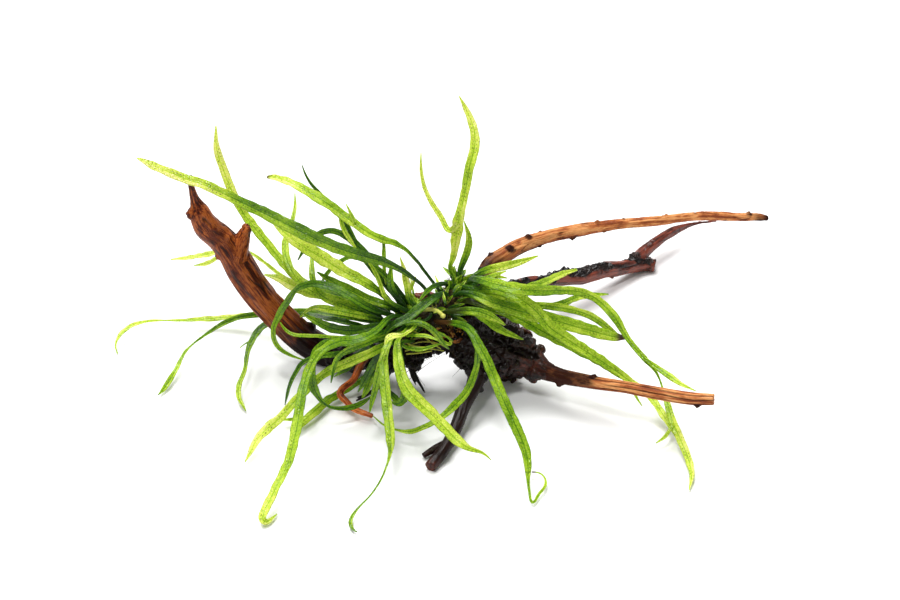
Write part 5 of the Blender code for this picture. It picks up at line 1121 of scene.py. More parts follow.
def declare(piece: Object, slot: str, *nodes: str) -> None:
    """Puts a piece on the body, hides the nodes that it stands for and logs its faces."""
    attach(piece, ROOT)
    if nodes:
        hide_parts(*nodes)
    log.info("%s: %d faces", piece.name, len(piece.data.polygons))


# --------------------------------------------------------------------------
# Finishes
# --------------------------------------------------------------------------

Colour = tuple[float, float, float]


class NodeBench:
    """Adds and links the nodes of one material."""

    def __init__(self, name: str) -> None:
        """Starts a material with nothing but its output."""
        self.material = bpy.data.materials.new(name)
        self.material.use_nodes = True
        self.tree = self.material.node_tree
        self.tree.nodes.clear()
        self.output = self.tree.nodes.new("ShaderNodeOutputMaterial")

    def add(self, kind: str, inputs: dict | None = None, **settings: object) -> Node:
        """Adds a node.

        Args:
            kind: the node's type, without its prefix.
            inputs: a value or another node's socket for each input.
            settings: the node's own settings.

        Returns:
            The node.
        """
        node = self.tree.nodes.new(f"ShaderNode{kind}")
        for name, value in settings.items():
            setattr(node, name, value)
        for name, value in (inputs or {}).items():
            if isinstance(value, Socket):
                self.tree.links.new(value, node.inputs[name])
            else:
                node.inputs[name].default_value = value
        return node

    def attribute(self, name: str) -> Node:
        """Reads one of the piece's own attributes."""
        return self.add("Attribute", attribute_name=name)

    def math(self, operation: str, first: object, second: object = 0.0,
             third: object = 0.0) -> Socket:
        """The result of a calculation."""
        node = self.add("Math", {0: first, 1: second, 2: third}, operation=operation)
        return node.outputs[0]

    def spread(self, value: Socket, amount: float,
               base: Socket) -> Socket:
        """A base raised and lowered by a value that lies round one half."""
        return self.math("MULTIPLY_ADD", self.math("SUBTRACT", value, 0.5), amount, base)

    def stretch(self, vector: Socket, scale: Colour) -> Socket:
        """A vector scaled along its axes."""
        node = self.add("VectorMath", {0: vector, 1: scale}, operation="MULTIPLY")
        return node.outputs[0]

    def noise(self, vector: Socket, scale: float, detail: float = 3.0,
              rough: float = 0.55, distortion: float = 0.0) -> Socket:
        """Cloudy values round one half."""
        node = self.add("TexNoise", {"Vector": vector, "Scale": scale, "Detail": detail,
                                     "Roughness": rough, "Distortion": distortion})
        return node.outputs[0]

    def streaks(self, vector: Socket, scale: Colour, detail: float = 3.0,
                rough: float = 0.55, distortion: float = 0.0) -> Socket:
        """Cloudy values, scaled along each axis on its own."""
        return self.noise(self.stretch(vector, scale), 1.0, detail, rough, distortion)

    def cells(self, vector: Socket, scale: float) -> Socket:
        """A net of cells: the distance to their edges."""
        node = self.add("TexVoronoi", {"Vector": vector, "Scale": scale},
                        feature="DISTANCE_TO_EDGE")
        return node.outputs["Distance"]

    def span(self, value: Socket, low: float, high: float, start: float = 0.0,
             end: float = 1.0) -> Socket:
        """A value mapped smoothly from one range to another."""
        node = self.add("MapRange", {"Value": value, "From Min": low, "From Max": high,
                                     "To Min": start, "To Max": end},
                        interpolation_type="SMOOTHSTEP")
        return node.outputs[0]

    def fade(self, value: Socket, low: float, high: float) -> Socket:
        """Falls smoothly from 1 at low to 0 at high."""
        return self.span(value, low, high, 1.0, 0.0)

    def ramp(self, value: Socket, stops: tuple) -> Socket:
        """A colour read from a row of stops."""
        node = self.add("ValToRGB", {0: value})
        elements = node.color_ramp.elements
        while len(elements) < len(stops):
            elements.new(0.5)
        for element, (place, colour) in zip(elements, stops):
            element.position = place
            element.color = (*colour, 1.0)
        return node.outputs[0]

    def mix(self, share: object, first: object, second: object,
            blend: str = "MIX") -> Socket:
        """One colour mixed into another."""
        node = self.add("Mix", {0: share}, data_type="RGBA", blend_type=blend)
        for index, value in ((6, first), (7, second)):
            if isinstance(value, Socket):
                self.tree.links.new(value, node.inputs[index])
            else:
                node.inputs[index].default_value = (*value, 1.0)
        return node.outputs[2]

    def bump(self, height: Socket, strength: float,
             distance: float) -> Socket:
        """A normal that follows fine relief."""
        inputs = {"Height": height, "Strength": strength, "Distance": distance}
        return self.add("Bump", inputs).outputs[0]

    def coated(self, colour: Socket, roughness: object, normal: Socket,
               wet: float, coat_roughness: float, fine_coat: bool = True) -> Node:
        """A surface with next to no shine of its own, under a coat of water.

        Args:
            colour: its colour.
            roughness: how rough it is under the coat.
            normal: its normal.
            wet: how much of a coat it has.
            coat_roughness: how rough the coat is.
            fine_coat: whether the coat follows the fine relief too.

        Returns:
            The shader.
        """
        inputs = {"Base Color": colour, "Roughness": roughness, "Normal": normal,
                  "Coat Weight": wet, "Coat Roughness": coat_roughness, "Specular IOR Level": 0.03}
        if fine_coat:
            inputs["Coat Normal"] = normal
        return self.add("BsdfPrincipled", inputs)

    def finish(self, shader: Node) -> Material:
        """Joins the last shader to the output."""
        self.tree.links.new(shader.outputs[0], self.output.inputs["Surface"])
        return self.material


@dataclass(frozen=True)
class LeafFinish:
    """Leaf tissue: thin, wet and lit through, with a midrib and a net of veins.

    The piece's attributes say where on the blade a point is: "blade" holds
    millimetres across from the midrib and along from the base, "tone" runs
    from 0, pale, to 1, dark green, with painted shade on the stalks and painted
    light and shade on the two halves of a blade, and "brown" is 1 where the tip
    has died and rises at the foot of some stalks, where it partly stands for
    painted shade.
    """

    name: str
    light_through: float = 0.42
    roughness: float = 0.42
    wet: float = 0.62
    relief: float = 0.17
    stops: tuple = (
        (0.0, (0.95, 0.96, 0.36)),
        (0.16, (0.78, 0.88, 0.12)),
        (0.36, (0.48, 0.68, 0.035)),
        (0.56, (0.22, 0.43, 0.010)),
        (0.76, (0.080, 0.22, 0.005)),
        (1.0, (0.022, 0.085, 0.006)),
    )
    # Dead brown for died tips; at the foot of some stalks it partly stands for painted shade.
    dead: Colour = (0.085, 0.028, 0.010)
    spots: float = 0.65
    spore: Colour = (0.03, 0.045, 0.006)

    def material(self) -> Material:
        """The leaf's material."""
        bench = NodeBench(self.name)
        blade = bench.attribute("blade").outputs["Vector"]
        tone = bench.attribute("tone").outputs["Fac"]
        brown = bench.attribute("brown").outputs["Fac"]
        split = bench.add("SeparateXYZ", {0: blade})
        across = bench.math("ABSOLUTE", split.outputs[0])
        cloud = bench.streaks(blade, (0.35, 0.16, 1.0))
        fine = bench.streaks(blade, (2.2, 1.0, 1.0), 2.0)
        streaks = bench.streaks(blade, (2.6, 0.11, 1.0))
        net = bench.cells(bench.stretch(blade, (1.0, 0.55, 1.0)), 1.15)
        veins = bench.fade(net, 0.0, 0.15)
        rib = bench.fade(across, 0.1, 0.34)
        slope = bench.math("MULTIPLY_ADD", across, 0.85, split.outputs[1])
        rows = bench.math("PINGPONG", slope, 1.45)
        side_veins = bench.fade(rows, 0.0, 0.22)
        mottle = bench.math("MULTIPLY_ADD", cloud, 0.44, -0.40)
        mottle = bench.math("MULTIPLY_ADD", streaks, 0.3, mottle)
        deeper = bench.math("ADD", tone, mottle)
        deeper = bench.math("MULTIPLY_ADD", veins, 0.12, deeper)
        deeper = bench.math("MULTIPLY_ADD", side_veins, 0.07, deeper)
        deeper = bench.math("MULTIPLY_ADD", rib, 0.2, deeper)
        green = bench.ramp(bench.spread(fine, 0.32, deeper), self.stops)
        beads = bench.math("PINGPONG", split.outputs[1], 0.85)
        off_row = bench.math("ABSOLUTE", bench.math("SUBTRACT", across, 0.75))
        bead_run = bench.math("MULTIPLY", bench.fade(beads, 0.1, 0.42),
                              bench.fade(off_row, 0.12, 0.34))
        bead_here = bench.math("MULTIPLY", bead_run, bench.span(cloud, 0.46, 0.58))
        specks = bench.span(bench.streaks(blade, (1.6, 1.3, 1.0), 1.0), 0.66, 0.72)
        marks = bench.math("MAXIMUM", bench.math("MULTIPLY", specks, self.spots),
                           bench.math("MULTIPLY", bead_here, self.spots))
        spotted = bench.mix(marks, green, self.spore)
        colour = bench.mix(brown, spotted, self.dead)
        lit = bench.mix(0.5, colour, bench.mix(1.0, colour, (1.0, 1.0, 0.4), "MULTIPLY"))
        pillows = bench.span(net, 0.0, 0.42)
        relief = bench.math("MULTIPLY_ADD", side_veins, -0.35, pillows)
        relief = bench.math("MULTIPLY_ADD", fine, 0.8, relief)
        normal = bench.bump(relief, 0.75, self.relief * MM)
        gloss = bench.span(cloud, 0.3, 0.7, self.roughness - 0.08, self.roughness + 0.12)
        surface = bench.coated(colour, gloss, normal, self.wet, 0.1)
        through = bench.add("BsdfTranslucent", {"Color": lit, "Normal": normal})
        both = bench.add("MixShader", {0: self.light_through, 1: surface.outputs[0],
                                       2: through.outputs[0]})
        return bench.finish(both)


@dataclass(frozen=True)
class WoodFinish:
    """Wet driftwood with streaks along its grain.

    "grain" holds millimetres along the limb and across it, "shade" runs from
    0, pale and worn, to 1, dark and soaked, and also carries painted shade on
    undersides and in the hub's hollow, and "hollow" is 1 in cracks, crevices
    and that hollow, which are darkened as painted shade.
    """

    name: str
    pale: Colour
    middle: Colour
    deep: Colour
    soaked: Colour
    roughness: float = 0.5
    wet: float = 0.3
    relief: float = 0.25
    # The colour of cracks, crevices and the hub's hollow: painted shade in the recesses.
    crack: Colour = (0.012, 0.006, 0.004)

    def material(self) -> Material:
        """The wood's material."""
        bench = NodeBench(self.name)
        grain = bench.attribute("grain").outputs["Vector"]
        shade = bench.attribute("shade").outputs["Fac"]
        hollow = bench.attribute("hollow").outputs["Fac"]
        streaks = bench.streaks(grain, (0.045, 0.55, 0.55), 4.0, 0.6, 0.4)
        threads = bench.streaks(grain, (0.16, 3.2, 3.2), 3.0, 0.6)
        patches = bench.streaks(grain, (0.14, 0.2, 0.2))
        pores = bench.streaks(grain, (1.6, 5.0, 5.0), 2.0)
        value = bench.spread(patches, 0.6, bench.spread(threads, 0.7, streaks))
        wood = bench.ramp(value, ((0.33, self.deep), (0.47, self.middle), (0.62, self.pale),
                                  (0.8, self.middle)))
        # Soaking along the limb and at knots, plus the painted shade that the shade attribute
        # carries; the crack mask then paints shade into the recesses.
        soak_and_shade = bench.spread(threads, 0.5, bench.spread(patches, 0.9, shade))
        dark = bench.mix(bench.span(soak_and_shade, 0.25, 0.75), wood, self.soaked)
        colour = bench.mix(bench.math("MULTIPLY", hollow, 0.85), dark, self.crack)
        fibres = bench.math("MULTIPLY_ADD", pores, 0.35, threads)
        normal = bench.bump(fibres, self.relief, 0.25 * MM)
        gloss = bench.span(patches, 0.3, 0.7, self.roughness - 0.1, self.roughness + 0.2)
        return bench.finish(bench.coated(colour, gloss, normal, self.wet, 0.09))


@dataclass(frozen=True)
class FibreFinish:
    """Roots, scales and moss, tinted from strand to strand by "tint"."""

    name: str
    first: Colour
    second: Colour
    third: Colour
    roughness: float = 0.55
    wet: float = 0.2

    def material(self) -> Material:
        """The fibres' material."""
        bench = NodeBench(self.name)
        tint = bench.attribute("tint").outputs["Fac"]
        place = bench.add("TexCoord").outputs["Object"]
        cloud = bench.noise(place, 900.0, 2.0)
        stops = ((0.1, self.first), (0.5, self.second), (0.9, self.third))
        colour = bench.ramp(bench.spread(cloud, 0.5, tint), stops)
        normal = bench.bump(cloud, 0.4, 0.1 * MM)
        return bench.finish(bench.coated(colour, self.roughness, normal, self.wet, 0.12, False))


@dataclass(frozen=True)
class PlainFloorFinish:
    """A plain white floor."""

    name: str = "white_floor"

    def material(self) -> Material:
        """The floor's material."""
        bench = NodeBench(self.name)
        return bench.finish(bench.add("BsdfPrincipled", {
            "Base Color": (0.93, 0.93, 0.93, 1.0), "Roughness": 0.7, "Specular IOR Level": 0.2}))


class LeafTone(Enum):
    """The four leaf slots, with the darkest tone of each."""

    PALE = ("leaf_pale", 0.2)
    BRIGHT = ("leaf_bright", 0.4)
    MID = ("leaf_mid", 0.65)
    DARK = ("leaf_dark", 1.0)

    @classmethod
    def of(cls, tone: float) -> "LeafTone":
        """The slot that a frond's tone belongs to."""
        return next(item for item in cls if tone <= item.value[1])


# --------------------------------------------------------------------------
# Fronds
# --------------------------------------------------------------------------

@dataclass
class Ribbon:
    """A thin blade or lobe along a settled strand.

    Args:
        frond: the frond that it belongs to.
        strand: its settled samples.
        seed: a number that sets its waves apart from the others'.
        first_face: the face direction that it starts with, for a lobe.
        first_tone: the tone that it starts with, for a lobe.
        stalk: how long its stalk is.
        stalk_dark_and_shade: how much darker the stalk is than the blade, partly painted shade in
            the crown.
    """

    frond: Frond
    strand: Strand
    seed: float
    first_face: Vector | None = None
    first_tone: float | None = None
    stalk: float = 13 * MM
    stalk_dark_and_shade: float = 0.4
    columns: int = 16
    step: float = 1.0 * MM
    lamina: float = 0.34 * MM
    rib: float = 0.3 * MM
    rib_width: float = 0.3 * MM
    rib_sunk: float = 0.16
    fold: float = 0.17
    fold_change: float = 0.22
    ruffle: float = 0.15
    lobe_turn: float = 7 * MM
    centre_rounds: int = 4
    side_rounds: int = 14
    swing: float = 22.0
    swing_length: float = 24 * MM
    swell_lengths: tuple = ((0.15, 9 * MM), (0.10, 2.6 * MM))
    wave_length: float = 1.25 * MM
    wave_drift: float = 17 * MM
    tone_length: float = 13 * MM
    fold_length: float = 21 * MM
    # Painted light and shade: one half of each blade is painted lighter, the other darker.
    shading: float = 0.06

    def __post_init__(self) -> None:
        """Works out the sections' places and directions."""
        strand = self.strand
        length = strand.along[-1]
        count = max(8, int(length / self.step))
        self.along = np.linspace(0.0, length, count)
        centres = resampled(self.along, strand.along, strand.points())
        self.centres = eased(centres, self.centre_rounds)
        self.ways = headings(self.centres)
        self.half = np.interp(self.along, strand.along, strand.widths) / 2
        facing = np.array(BLADE_FACING)
        across = np.cross(facing, self.ways)
        for index in range(1, count):
            if across[index] @ across[index - 1] < 0:
                across[index] = -across[index]
        sides = unit(eased(across, self.side_rounds))
        sides = unit(sides - self.ways * (sides * self.ways).sum(axis=1)[:, None])
        faces = np.cross(self.ways, sides)
        self.is_lobe = self.first_face is not None
        if self.is_lobe:
            ease = np.exp(-(self.along / self.lobe_turn) ** 2)[:, None]
            faces = unit(faces * (1 - ease) + np.array(self.first_face) * ease)
            sides = unit(np.cross(faces, self.ways))
            faces = np.cross(self.ways, sides)
        shares = self.along / length
        swing = np.array([self.drift(place, self.swing_length, 3.1) for place in self.along])
        own = 0.0 if self.is_lobe else self.frond.roll + self.frond.turn * (shares - 0.5)
        angles = np.radians(own + self.swing * swing * shares)
        turn, lift = np.cos(angles)[:, None], np.sin(angles)[:, None]
        self.sides = sides * turn + faces * lift
        self.faces = faces * turn - sides * lift

    def drift(self, place: float, length: float, channel: float, shift: float = 0.0) -> float:
        """A slow change along the ribbon, from -1 to 1.

        Args:
            place: the distance from the start.
            length: the distance over which it changes.
            channel: a number for each use.
            shift: what tells one side from the other.

        Returns:
            The change at the place.
        """
        return noise.noise(Vector((place / length, self.seed + shift, channel)))

    def stalk_share(self, place: float) -> float:
        """How round the ribbon is: 1 in the stalk, 0 in the blade."""
        return 0.0 if self.is_lobe else 1 - smoothstep(0.3 * self.stalk, self.stalk, place)

    def footing(self, place: float) -> float:
        """1 at the foot of the stalk, 0 past it."""
        return 0.0 if self.is_lobe else 1 - smoothstep(0.85 * self.stalk, 1.25 * self.stalk, place)

    def margin(self, place: float, side: float) -> float:
        """How the margin swells and narrows along the blade."""
        (slow, slow_length), (quick, quick_length) = self.swell_lengths
        return (1 + slow * self.drift(place, slow_length, 0.3, side)
                + quick * self.drift(place, quick_length, 7.7, side))

    def wave(self, place: float, side: float) -> float:
        """How the margin waves up and down."""
        drift = self.drift(place, self.wave_drift, 1.9, 5 * side)
        return math.sin(place / self.wave_length + 5 * drift + 2.1 * side + self.seed)

    def tone(self, place: float) -> float:
        """Pale to dark along the blade."""
        share = place / self.strand.along[-1]
        base, middle, tip = self.frond.shades
        if self.first_tone is not None:
            value = self.first_tone + (tip - self.first_tone) * smoothstep(0.1, 1.0, share)
        elif share < 0.5:
            value = base + (middle - base) * smoothstep(0.05, 0.45, share)
        else:
            value = middle + (tip - middle) * smoothstep(0.55, 0.97, share)
        cloud = self.drift(place, self.tone_length, 9.4)
        # The stalk is darkened: partly its own colour, partly painted shade in the crown.
        if not self.is_lobe:
            value += self.stalk_dark_and_shade * (1 - smoothstep(0.45 * self.stalk, 1.25 * self.stalk, place))
        return min(max(value + 0.12 * cloud, 0.0), 1.0)

    def add_to(self, bm: BMesh) -> None:
        """Adds the ribbon's closed skin to a frond's mesh."""
        blade_at = bm.verts.layers.float_vector["blade"]
        tone_at = bm.verts.layers.float["tone"]
        brown_at = bm.verts.layers.float["brown"]
        length = self.along[-1]
        rows = []
        for index, place in enumerate(self.along):
            dead = 0.0 if self.is_lobe else self.frond.brown_tip * MM
            browning = smoothstep(length - dead, length - 0.5 * dead, place) if dead else 0.0
            # The foot of the stalk is browned: dead colour, partly painted shade in the crown.
            browning = max(browning, self.frond.brown_and_shaded_foot * self.footing(place))
            rows.append((Vector(self.centres[index]), Vector(self.sides[index]),
                         Vector(self.faces[index]), float(self.half[index]),
                         self.stalk_share(place), self.tone(place), browning,
                         self.margin(place, -1), self.margin(place, 1),
                         self.wave(place, -1), self.wave(place, 1),
                         self.drift(place, self.fold_length, 5.5)))

        def shape(vert: BMVert, section: int, angle: float) -> None:
            """Places one point of a section: flat, with a rib and waved margins."""
            (centre, side, face, half, stalk, tone, browning,
             left, right, left_wave, right_wave, bend) = rows[section]
            reach = 1 - 2 * (angle / math.pi if angle <= math.pi else 2 - angle / math.pi)
            on_top = 1.0 if 0 < angle < math.pi else -1.0
            far = abs(reach)
            swell = left if reach < 0 else right
            wave = left_wave if reach < 0 else right_wave
            across = reach * half * (swell * (1 - stalk) + stalk)
            # Painted light and shade across the midrib: one half lighter, the other darker.
            shading = self.frond.halves or self.shading * math.sin(7 * self.seed)
            own_side = max(-1.0, min(1.0, 4 * reach))
            local_tone = min(1.0, max(0.0, tone + shading * own_side * (1 - stalk)))
            body = 0.5 * min(self.lamina, half) * math.sqrt(max(0.0, 1 - far ** 6))
            ridge = math.exp(-(reach * half / self.rib_width) ** 2)
            out = -self.rib_sunk if on_top > 0 else 1.0
            body += out * min(self.rib, 0.5 * half) * ridge * (far < 1)
            rise = (self.fold + self.fold_change * bend) * half * far ** 1.4
            rise += self.ruffle * half * wave * far ** 2
            flat = Vector((across, on_top * body + rise * (1 - stalk)))
            round_ = Vector((math.cos(angle) * half, math.sin(angle) * half * 0.8))
            spot_at = flat.lerp(round_, stalk)
            vert.co = kept_in(centre + side * spot_at.x + face * spot_at.y, CAD_BOX)
            vert[blade_at] = (across / MM, self.along[section] / MM + 40 * (self.seed % 7), 0.0)
            vert[tone_at] = local_tone
            vert[brown_at] = browning

        tube(bm, len(self.along), self.columns, shape)


@dataclass
class FernFronds:
    """All fronds of the fern, each with its lobes."""

    settled: list[tuple[Frond, list[Strand]]] = field(default_factory=settled_fronds)
    paints: dict = field(default_factory=dict)
    wettest: tuple = ("front_glossy_frond", "long_left_frond", "crown_rightward_frond")

    def paint(self, frond: Frond, slot: str) -> Material:
        """A frond's finish: the wettest ones' own, or that of its slot, each made once."""
        finish = LeafFinish(slot)
        if frond.name in self.wettest:
            finish = LeafFinish("leaf_glossy", wet=1.0, relief=0.3)
        if finish.name not in self.paints:
            self.paints[finish.name] = finish.material()
        return self.paints[finish.name]

    def build(self) -> None:
        """Builds every frond and puts it in its node's place."""
        for number, (frond, strands) in enumerate(self.settled):
            self.build_frond(frond, strands, 1.7 + 3.37 * number)

    def build_frond(self, frond: Frond, strands: list[Strand], seed: float) -> None:
        """Builds one frond: its blade, then its lobes, which leave in the blade's own plane.

        Args:
            frond: the frond.
            strands: the settled samples of its blade and of its lobes.
            seed: a number that sets its waves apart from the others'.
        """
        bm = leaf_mesh()
        blade = Ribbon(frond, strands[0], seed)
        blade.add_to(bm)
        for number, lobe in enumerate(strands[1:], 1):
            place = strands[0].along[lobe.fork]
            at = int(np.argmin(np.abs(blade.along - place)))
            first_face, first_tone = Vector(blade.faces[at]), blade.tone(place)
            Ribbon(frond, lobe, seed + 11.3 * number, first_face, first_tone).add_to(bm)
        slot = LeafTone.of(frond.tone).value[0]
        piece = make_piece(f"{frond.name}_leaf", bm, self.paint(frond, slot))
        declare(piece, slot, frond.name)


# --------------------------------------------------------------------------
# Driftwood
# --------------------------------------------------------------------------

@dataclass
class Carving:
    """How a limb's surface is worn, in millimetres and degrees.

    Ridge and thread are the coarse and the fine relief along the grain.
    Crumble, grit and chunk are loose bark, from small to large.  Cracks and
    grooves run lengthwise.  Top_only keeps the loose bark to the upper side,
    broken_start is where a fork begins to splinter, knot_dark says how much
    darker a knot is, and two more fields say how much painted shade the
    underside and a hollow get.
    """

    voxel: float = 0.42
    ridge: float = 0.35
    ridge_length: float = 14.0
    ridge_width: float = 2.2
    thread: float = 0.12
    crumble: float = 0.0
    crumble_size: float = 1.6
    grit: float = 0.0
    crack: float = 0.25
    crack_width: float = 0.10
    crack_run: float = 11.0
    chunk: float = 0.0
    chunk_size: float = 4.2
    top_only: bool = False
    grooves: tuple = ()
    groove_start: float = 26.0
    groove_depth: float = 0.4
    groove_spread: float = 7.0
    groove_sway: float = 16.0
    groove_sway_length: float = 17.0
    groove_fade: float = 9.0
    knot_dark: float = 0.45
    broken_start: float = math.inf
    broken: float = 1.3
    fork_loose: float = 1.0
    # Painted shade on faces that turn downwards.
    painted_under_shade: float = 0.0
    hollow_depth: float = 3.0
    # Painted shade in a hollow.
    painted_hollow_shade: float = 0.6


@dataclass
class Limb:
    """One limb of the driftwood, with its forks and knots.

    Args:
        node: the CAD node that it stands for.
        slot: the record's material slot.
        routes: its own route, then those of its forks.
        finish: its material.
        parting: where it parts from the hub, in millimetres along its route.
        knots: share of the length, turn round it in degrees, size in millimetres.
        shades: (share of the length, shade) from its start to its end.
        carving: how its surface is worn.
        seed: a number that sets its relief apart from the others'.
        run_on: how far it grows into the hub, in millimetres.
        fork_share: the share of the length that all of a fork counts as.
    """

    node: str
    slot: str
    routes: tuple
    finish: Material
    parting: float = 0.0
    knots: tuple = ()
    shades: tuple = ((0.0, 0.5), (1.0, 0.5))
    carving: Carving = field(default_factory=Carving)
    seed: float = 0.0
    run_on: float = 4.0
    fork_share: float = 0.8

    def __post_init__(self) -> None:
        """Samples the routes."""
        self.strands = [limb_strand(self.node, route) for route in self.routes]

    @staticmethod
    def solid(bm: BMesh, strand: Strand, start: float = 0.0, end: float | None = None,
              columns: int = 18, swell: float = 1.0) -> None:
        """Adds a plain tapering limb between two places along a strand.

        Args:
            bm: the mesh that it is added to.
            strand: the limb's samples.
            start: where it starts.
            end: where it ends, if before the strand does.
            columns: how many points each section has.
            swell: how much thicker it is than the strand.
        """
        last = strand.along[-1] if end is None else end
        count = max(4, int((last - start) / SECTION_STEP))
        places = np.linspace(start, last, count)
        centres = resampled(places, strand.along, strand.start)
        ways = headings(centres)
        sides = unit(np.cross(ways, np.array(TO_VIEWER)))
        tops = np.cross(sides, ways)
        radii = np.interp(places, strand.along, strand.widths) / 2 * swell

        def shape(vert: BMVert, section: int, angle: float) -> None:
            """Places one point of a round section."""
            offset = sides[section] * math.cos(angle) + tops[section] * math.sin(angle)
            vert.co = Vector(centres[section] + offset * radii[section])

        tube(bm, count, columns, shape)

    def knot_places(self) -> list[tuple[Vector, float]]:
        """Where each knot stands, and its radius."""
        strand = self.strands[0]
        places = []
        for share, turn, size in self.knots:
            along = share * strand.along[-1]
            outward = strand.outward_at(along, math.radians(turn), TO_VIEWER)
            places.append((strand.at(along) + outward * strand.radius_at(along), size * MM / 2))
        return places

    def rough(self) -> BMesh:
        """The limb's plain solids, not yet melted into one."""
        bm = bmesh.new()
        start = max(0.0, self.parting - self.run_on) * MM
        self.solid(bm, self.strands[0], start)
        for fork in self.strands[1:]:
            self.solid(bm, fork)
        return bm

    def straight(self, places: np.ndarray) -> tuple[np.ndarray, np.ndarray]:
        """Points as if the limb were straight, in millimetres.

        Args:
            places: points on the limb.

        Returns:
            Along the limb and two ways across it, and the share of the length.
        """
        best = np.full(len(places), np.inf)
        grain = np.zeros((len(places), 3))
        shares = np.zeros(len(places))
        for number, strand in enumerate(self.strands):
            ways = headings(strand.start)
            sides = unit(np.cross(ways, np.array(TO_VIEWER)))
            tops = np.cross(sides, ways)
            for first in range(0, len(places), BATCH):
                part = slice(first, first + BATCH)
                apart = places[part, None, :] - strand.start[None, :, :]
                distance = np.linalg.norm(apart, axis=2) - strand.widths[None, :] / 2
                nearest = distance.argmin(axis=1)
                rows = np.arange(len(nearest))
                offset = apart[rows, nearest]
                closer = distance[rows, nearest] < best[part]
                ahead, aside, above = ((offset * axis[nearest]).sum(axis=1)
                                       for axis in (ways, sides, tops))
                along = strand.along[nearest] + ahead
                found = np.stack([along / MM + FORK_OFFSET * number, aside / MM, above / MM],
                                 axis=1)
                grain[part] = np.where(closer[:, None], found, grain[part])
                share = np.full(len(along), self.fork_share) if number else along / strand.along[-1]
                shares[part] = np.where(closer, share, shares[part])
                best[part] = np.where(closer, distance[rows, nearest], best[part])
        return grain, shares

    def calm(self, place: Vector) -> float:
        """How crumbly the surface may be at a place: 1 fully, 0 not at all."""
        return 1.0

    def hollow(self, place: Vector) -> float:
        """How deep in a worn hollow a place is, from 0 to 1; the hollow gets painted shade."""
        return 0.0

    def groove(self, grain: Vector) -> float:
        """How deep in a lengthwise groove a point is, from 0 to 1."""
        cut = self.carving
        depth = 0.0
        turn = math.degrees(math.atan2(grain.z, grain.y))
        for number, middle in enumerate(cut.grooves):
            run = Vector((grain.x / cut.groove_sway_length, number * 3.7, 0.5))
            sway = cut.groove_sway * noise.noise(run)
            off = abs((turn - middle - sway + 180) % 360 - 180)
            start = cut.groove_start + 5 * math.sin(2.3 * number)
            here = smoothstep(start, start + cut.groove_fade, grain.x)
            depth = max(depth, here * (1 - smoothstep(0.0, cut.groove_spread, off)))
        return depth

    def relief(self, grain: Vector, loose: float) -> tuple[float, float]:
        """How far the surface stands out at a point, and how deep in a crack it is.

        Args:
            grain: the point, as if the limb were straight, in millimetres.
            loose: how crumbly the surface is there, from 0 to 1.

        Returns:
            Millimetres outwards, and 0 to 1 in a crack.
        """
        cut = self.carving
        drift = Vector((self.seed, self.seed * 1.7, -self.seed))
        wide = Vector((grain.x / cut.ridge_length, grain.y / cut.ridge_width,
                       grain.z / cut.ridge_width))
        thin = Vector((grain.x / (0.45 * cut.ridge_length), grain.y / 0.7, grain.z / 0.7))
        out = cut.ridge * noise.noise(wide + drift) + cut.thread * noise.noise(thin + drift)
        line = abs(noise.noise(wide * 0.9 + drift * 2.3))
        run = Vector((grain.x / cut.crack_run, 0.2 * grain.y, 0.2 * grain.z))
        gate = smoothstep(0.0, 0.35, noise.noise(run - drift))
        # The crack mask, with the crevices and grooves added below, is painted dark as painted
        # shade.
        crack = (1 - smoothstep(0.0, cut.crack_width, line)) * gate
        out -= cut.crack * crack
        if cut.crumble:
            lumps = noise.turbulence(grain / cut.crumble_size + drift, 3, True)
            out += loose * cut.crumble * (lumps - 0.55)
            crack = max(crack, loose * (1 - smoothstep(0.15, 0.42, lumps)))
        if cut.chunk:
            warp = Vector(noise.noise_vector(grain / 3.1 - drift)) * 0.45
            near = noise.voronoi(grain / cut.chunk_size + warp + drift)[0]
            raised = smoothstep(0.03, 0.42, near[1] - near[0])
            out += loose * cut.chunk * (raised - 0.62)
            crack = max(crack, loose * (1 - smoothstep(0.02, 0.3, raised)))
        if cut.grooves:
            groove = self.groove(grain)
            out -= cut.groove_depth * groove
            crack = max(crack, groove)
        if cut.grit:
            out += loose * cut.grit * noise.turbulence(grain * 1.1 - drift, 2, True)
        return out, crack

    def skin(self) -> BMesh:
        """The finished surface."""
        bm = remeshed(self.rough(), self.carving.voxel * MM)
        for _ in range(SMOOTHING_ROUNDS):
            bmesh.ops.smooth_vert(bm, verts=bm.verts, factor=0.5, use_axis_x=True, use_axis_y=True,
                                  use_axis_z=True)
        bm.normal_update()
        grain_at = bm.verts.layers.float_vector.new("grain")
        shade_at = bm.verts.layers.float.new("shade")
        hollow_at = bm.verts.layers.float.new("hollow")
        places = np.array([tuple(vert.co) for vert in bm.verts])
        grains, shares = self.straight(places)
        shade = np.interp(shares, *zip(*self.shades))
        knots = self.knot_places()
        cut = self.carving
        for vert, grain, dark, share in zip(bm.verts, grains, shade, shares):
            grain = Vector(grain)
            on_fork = share == self.fork_share
            loose = self.calm(vert.co)
            if cut.top_only:
                patch = noise.noise(Vector((grain.x / 9.0, 0.3 * grain.y, self.seed)))
                loose *= smoothstep(0.1, 0.6, vert.normal.z) * smoothstep(-0.25, 0.1, patch)
                loose *= cut.fork_loose if on_fork else 1.0
                dark += 0.6 * loose
            # Painted shade: faces that turn downwards are darkened.
            dark += cut.painted_under_shade * smoothstep(0.1, 0.9, -vert.normal.z)
            out, crack = self.relief(grain, loose)
            if on_fork and grain.x > cut.broken_start:
                out += cut.broken * (noise.turbulence(grain * 0.55, 2, True) - 0.45)
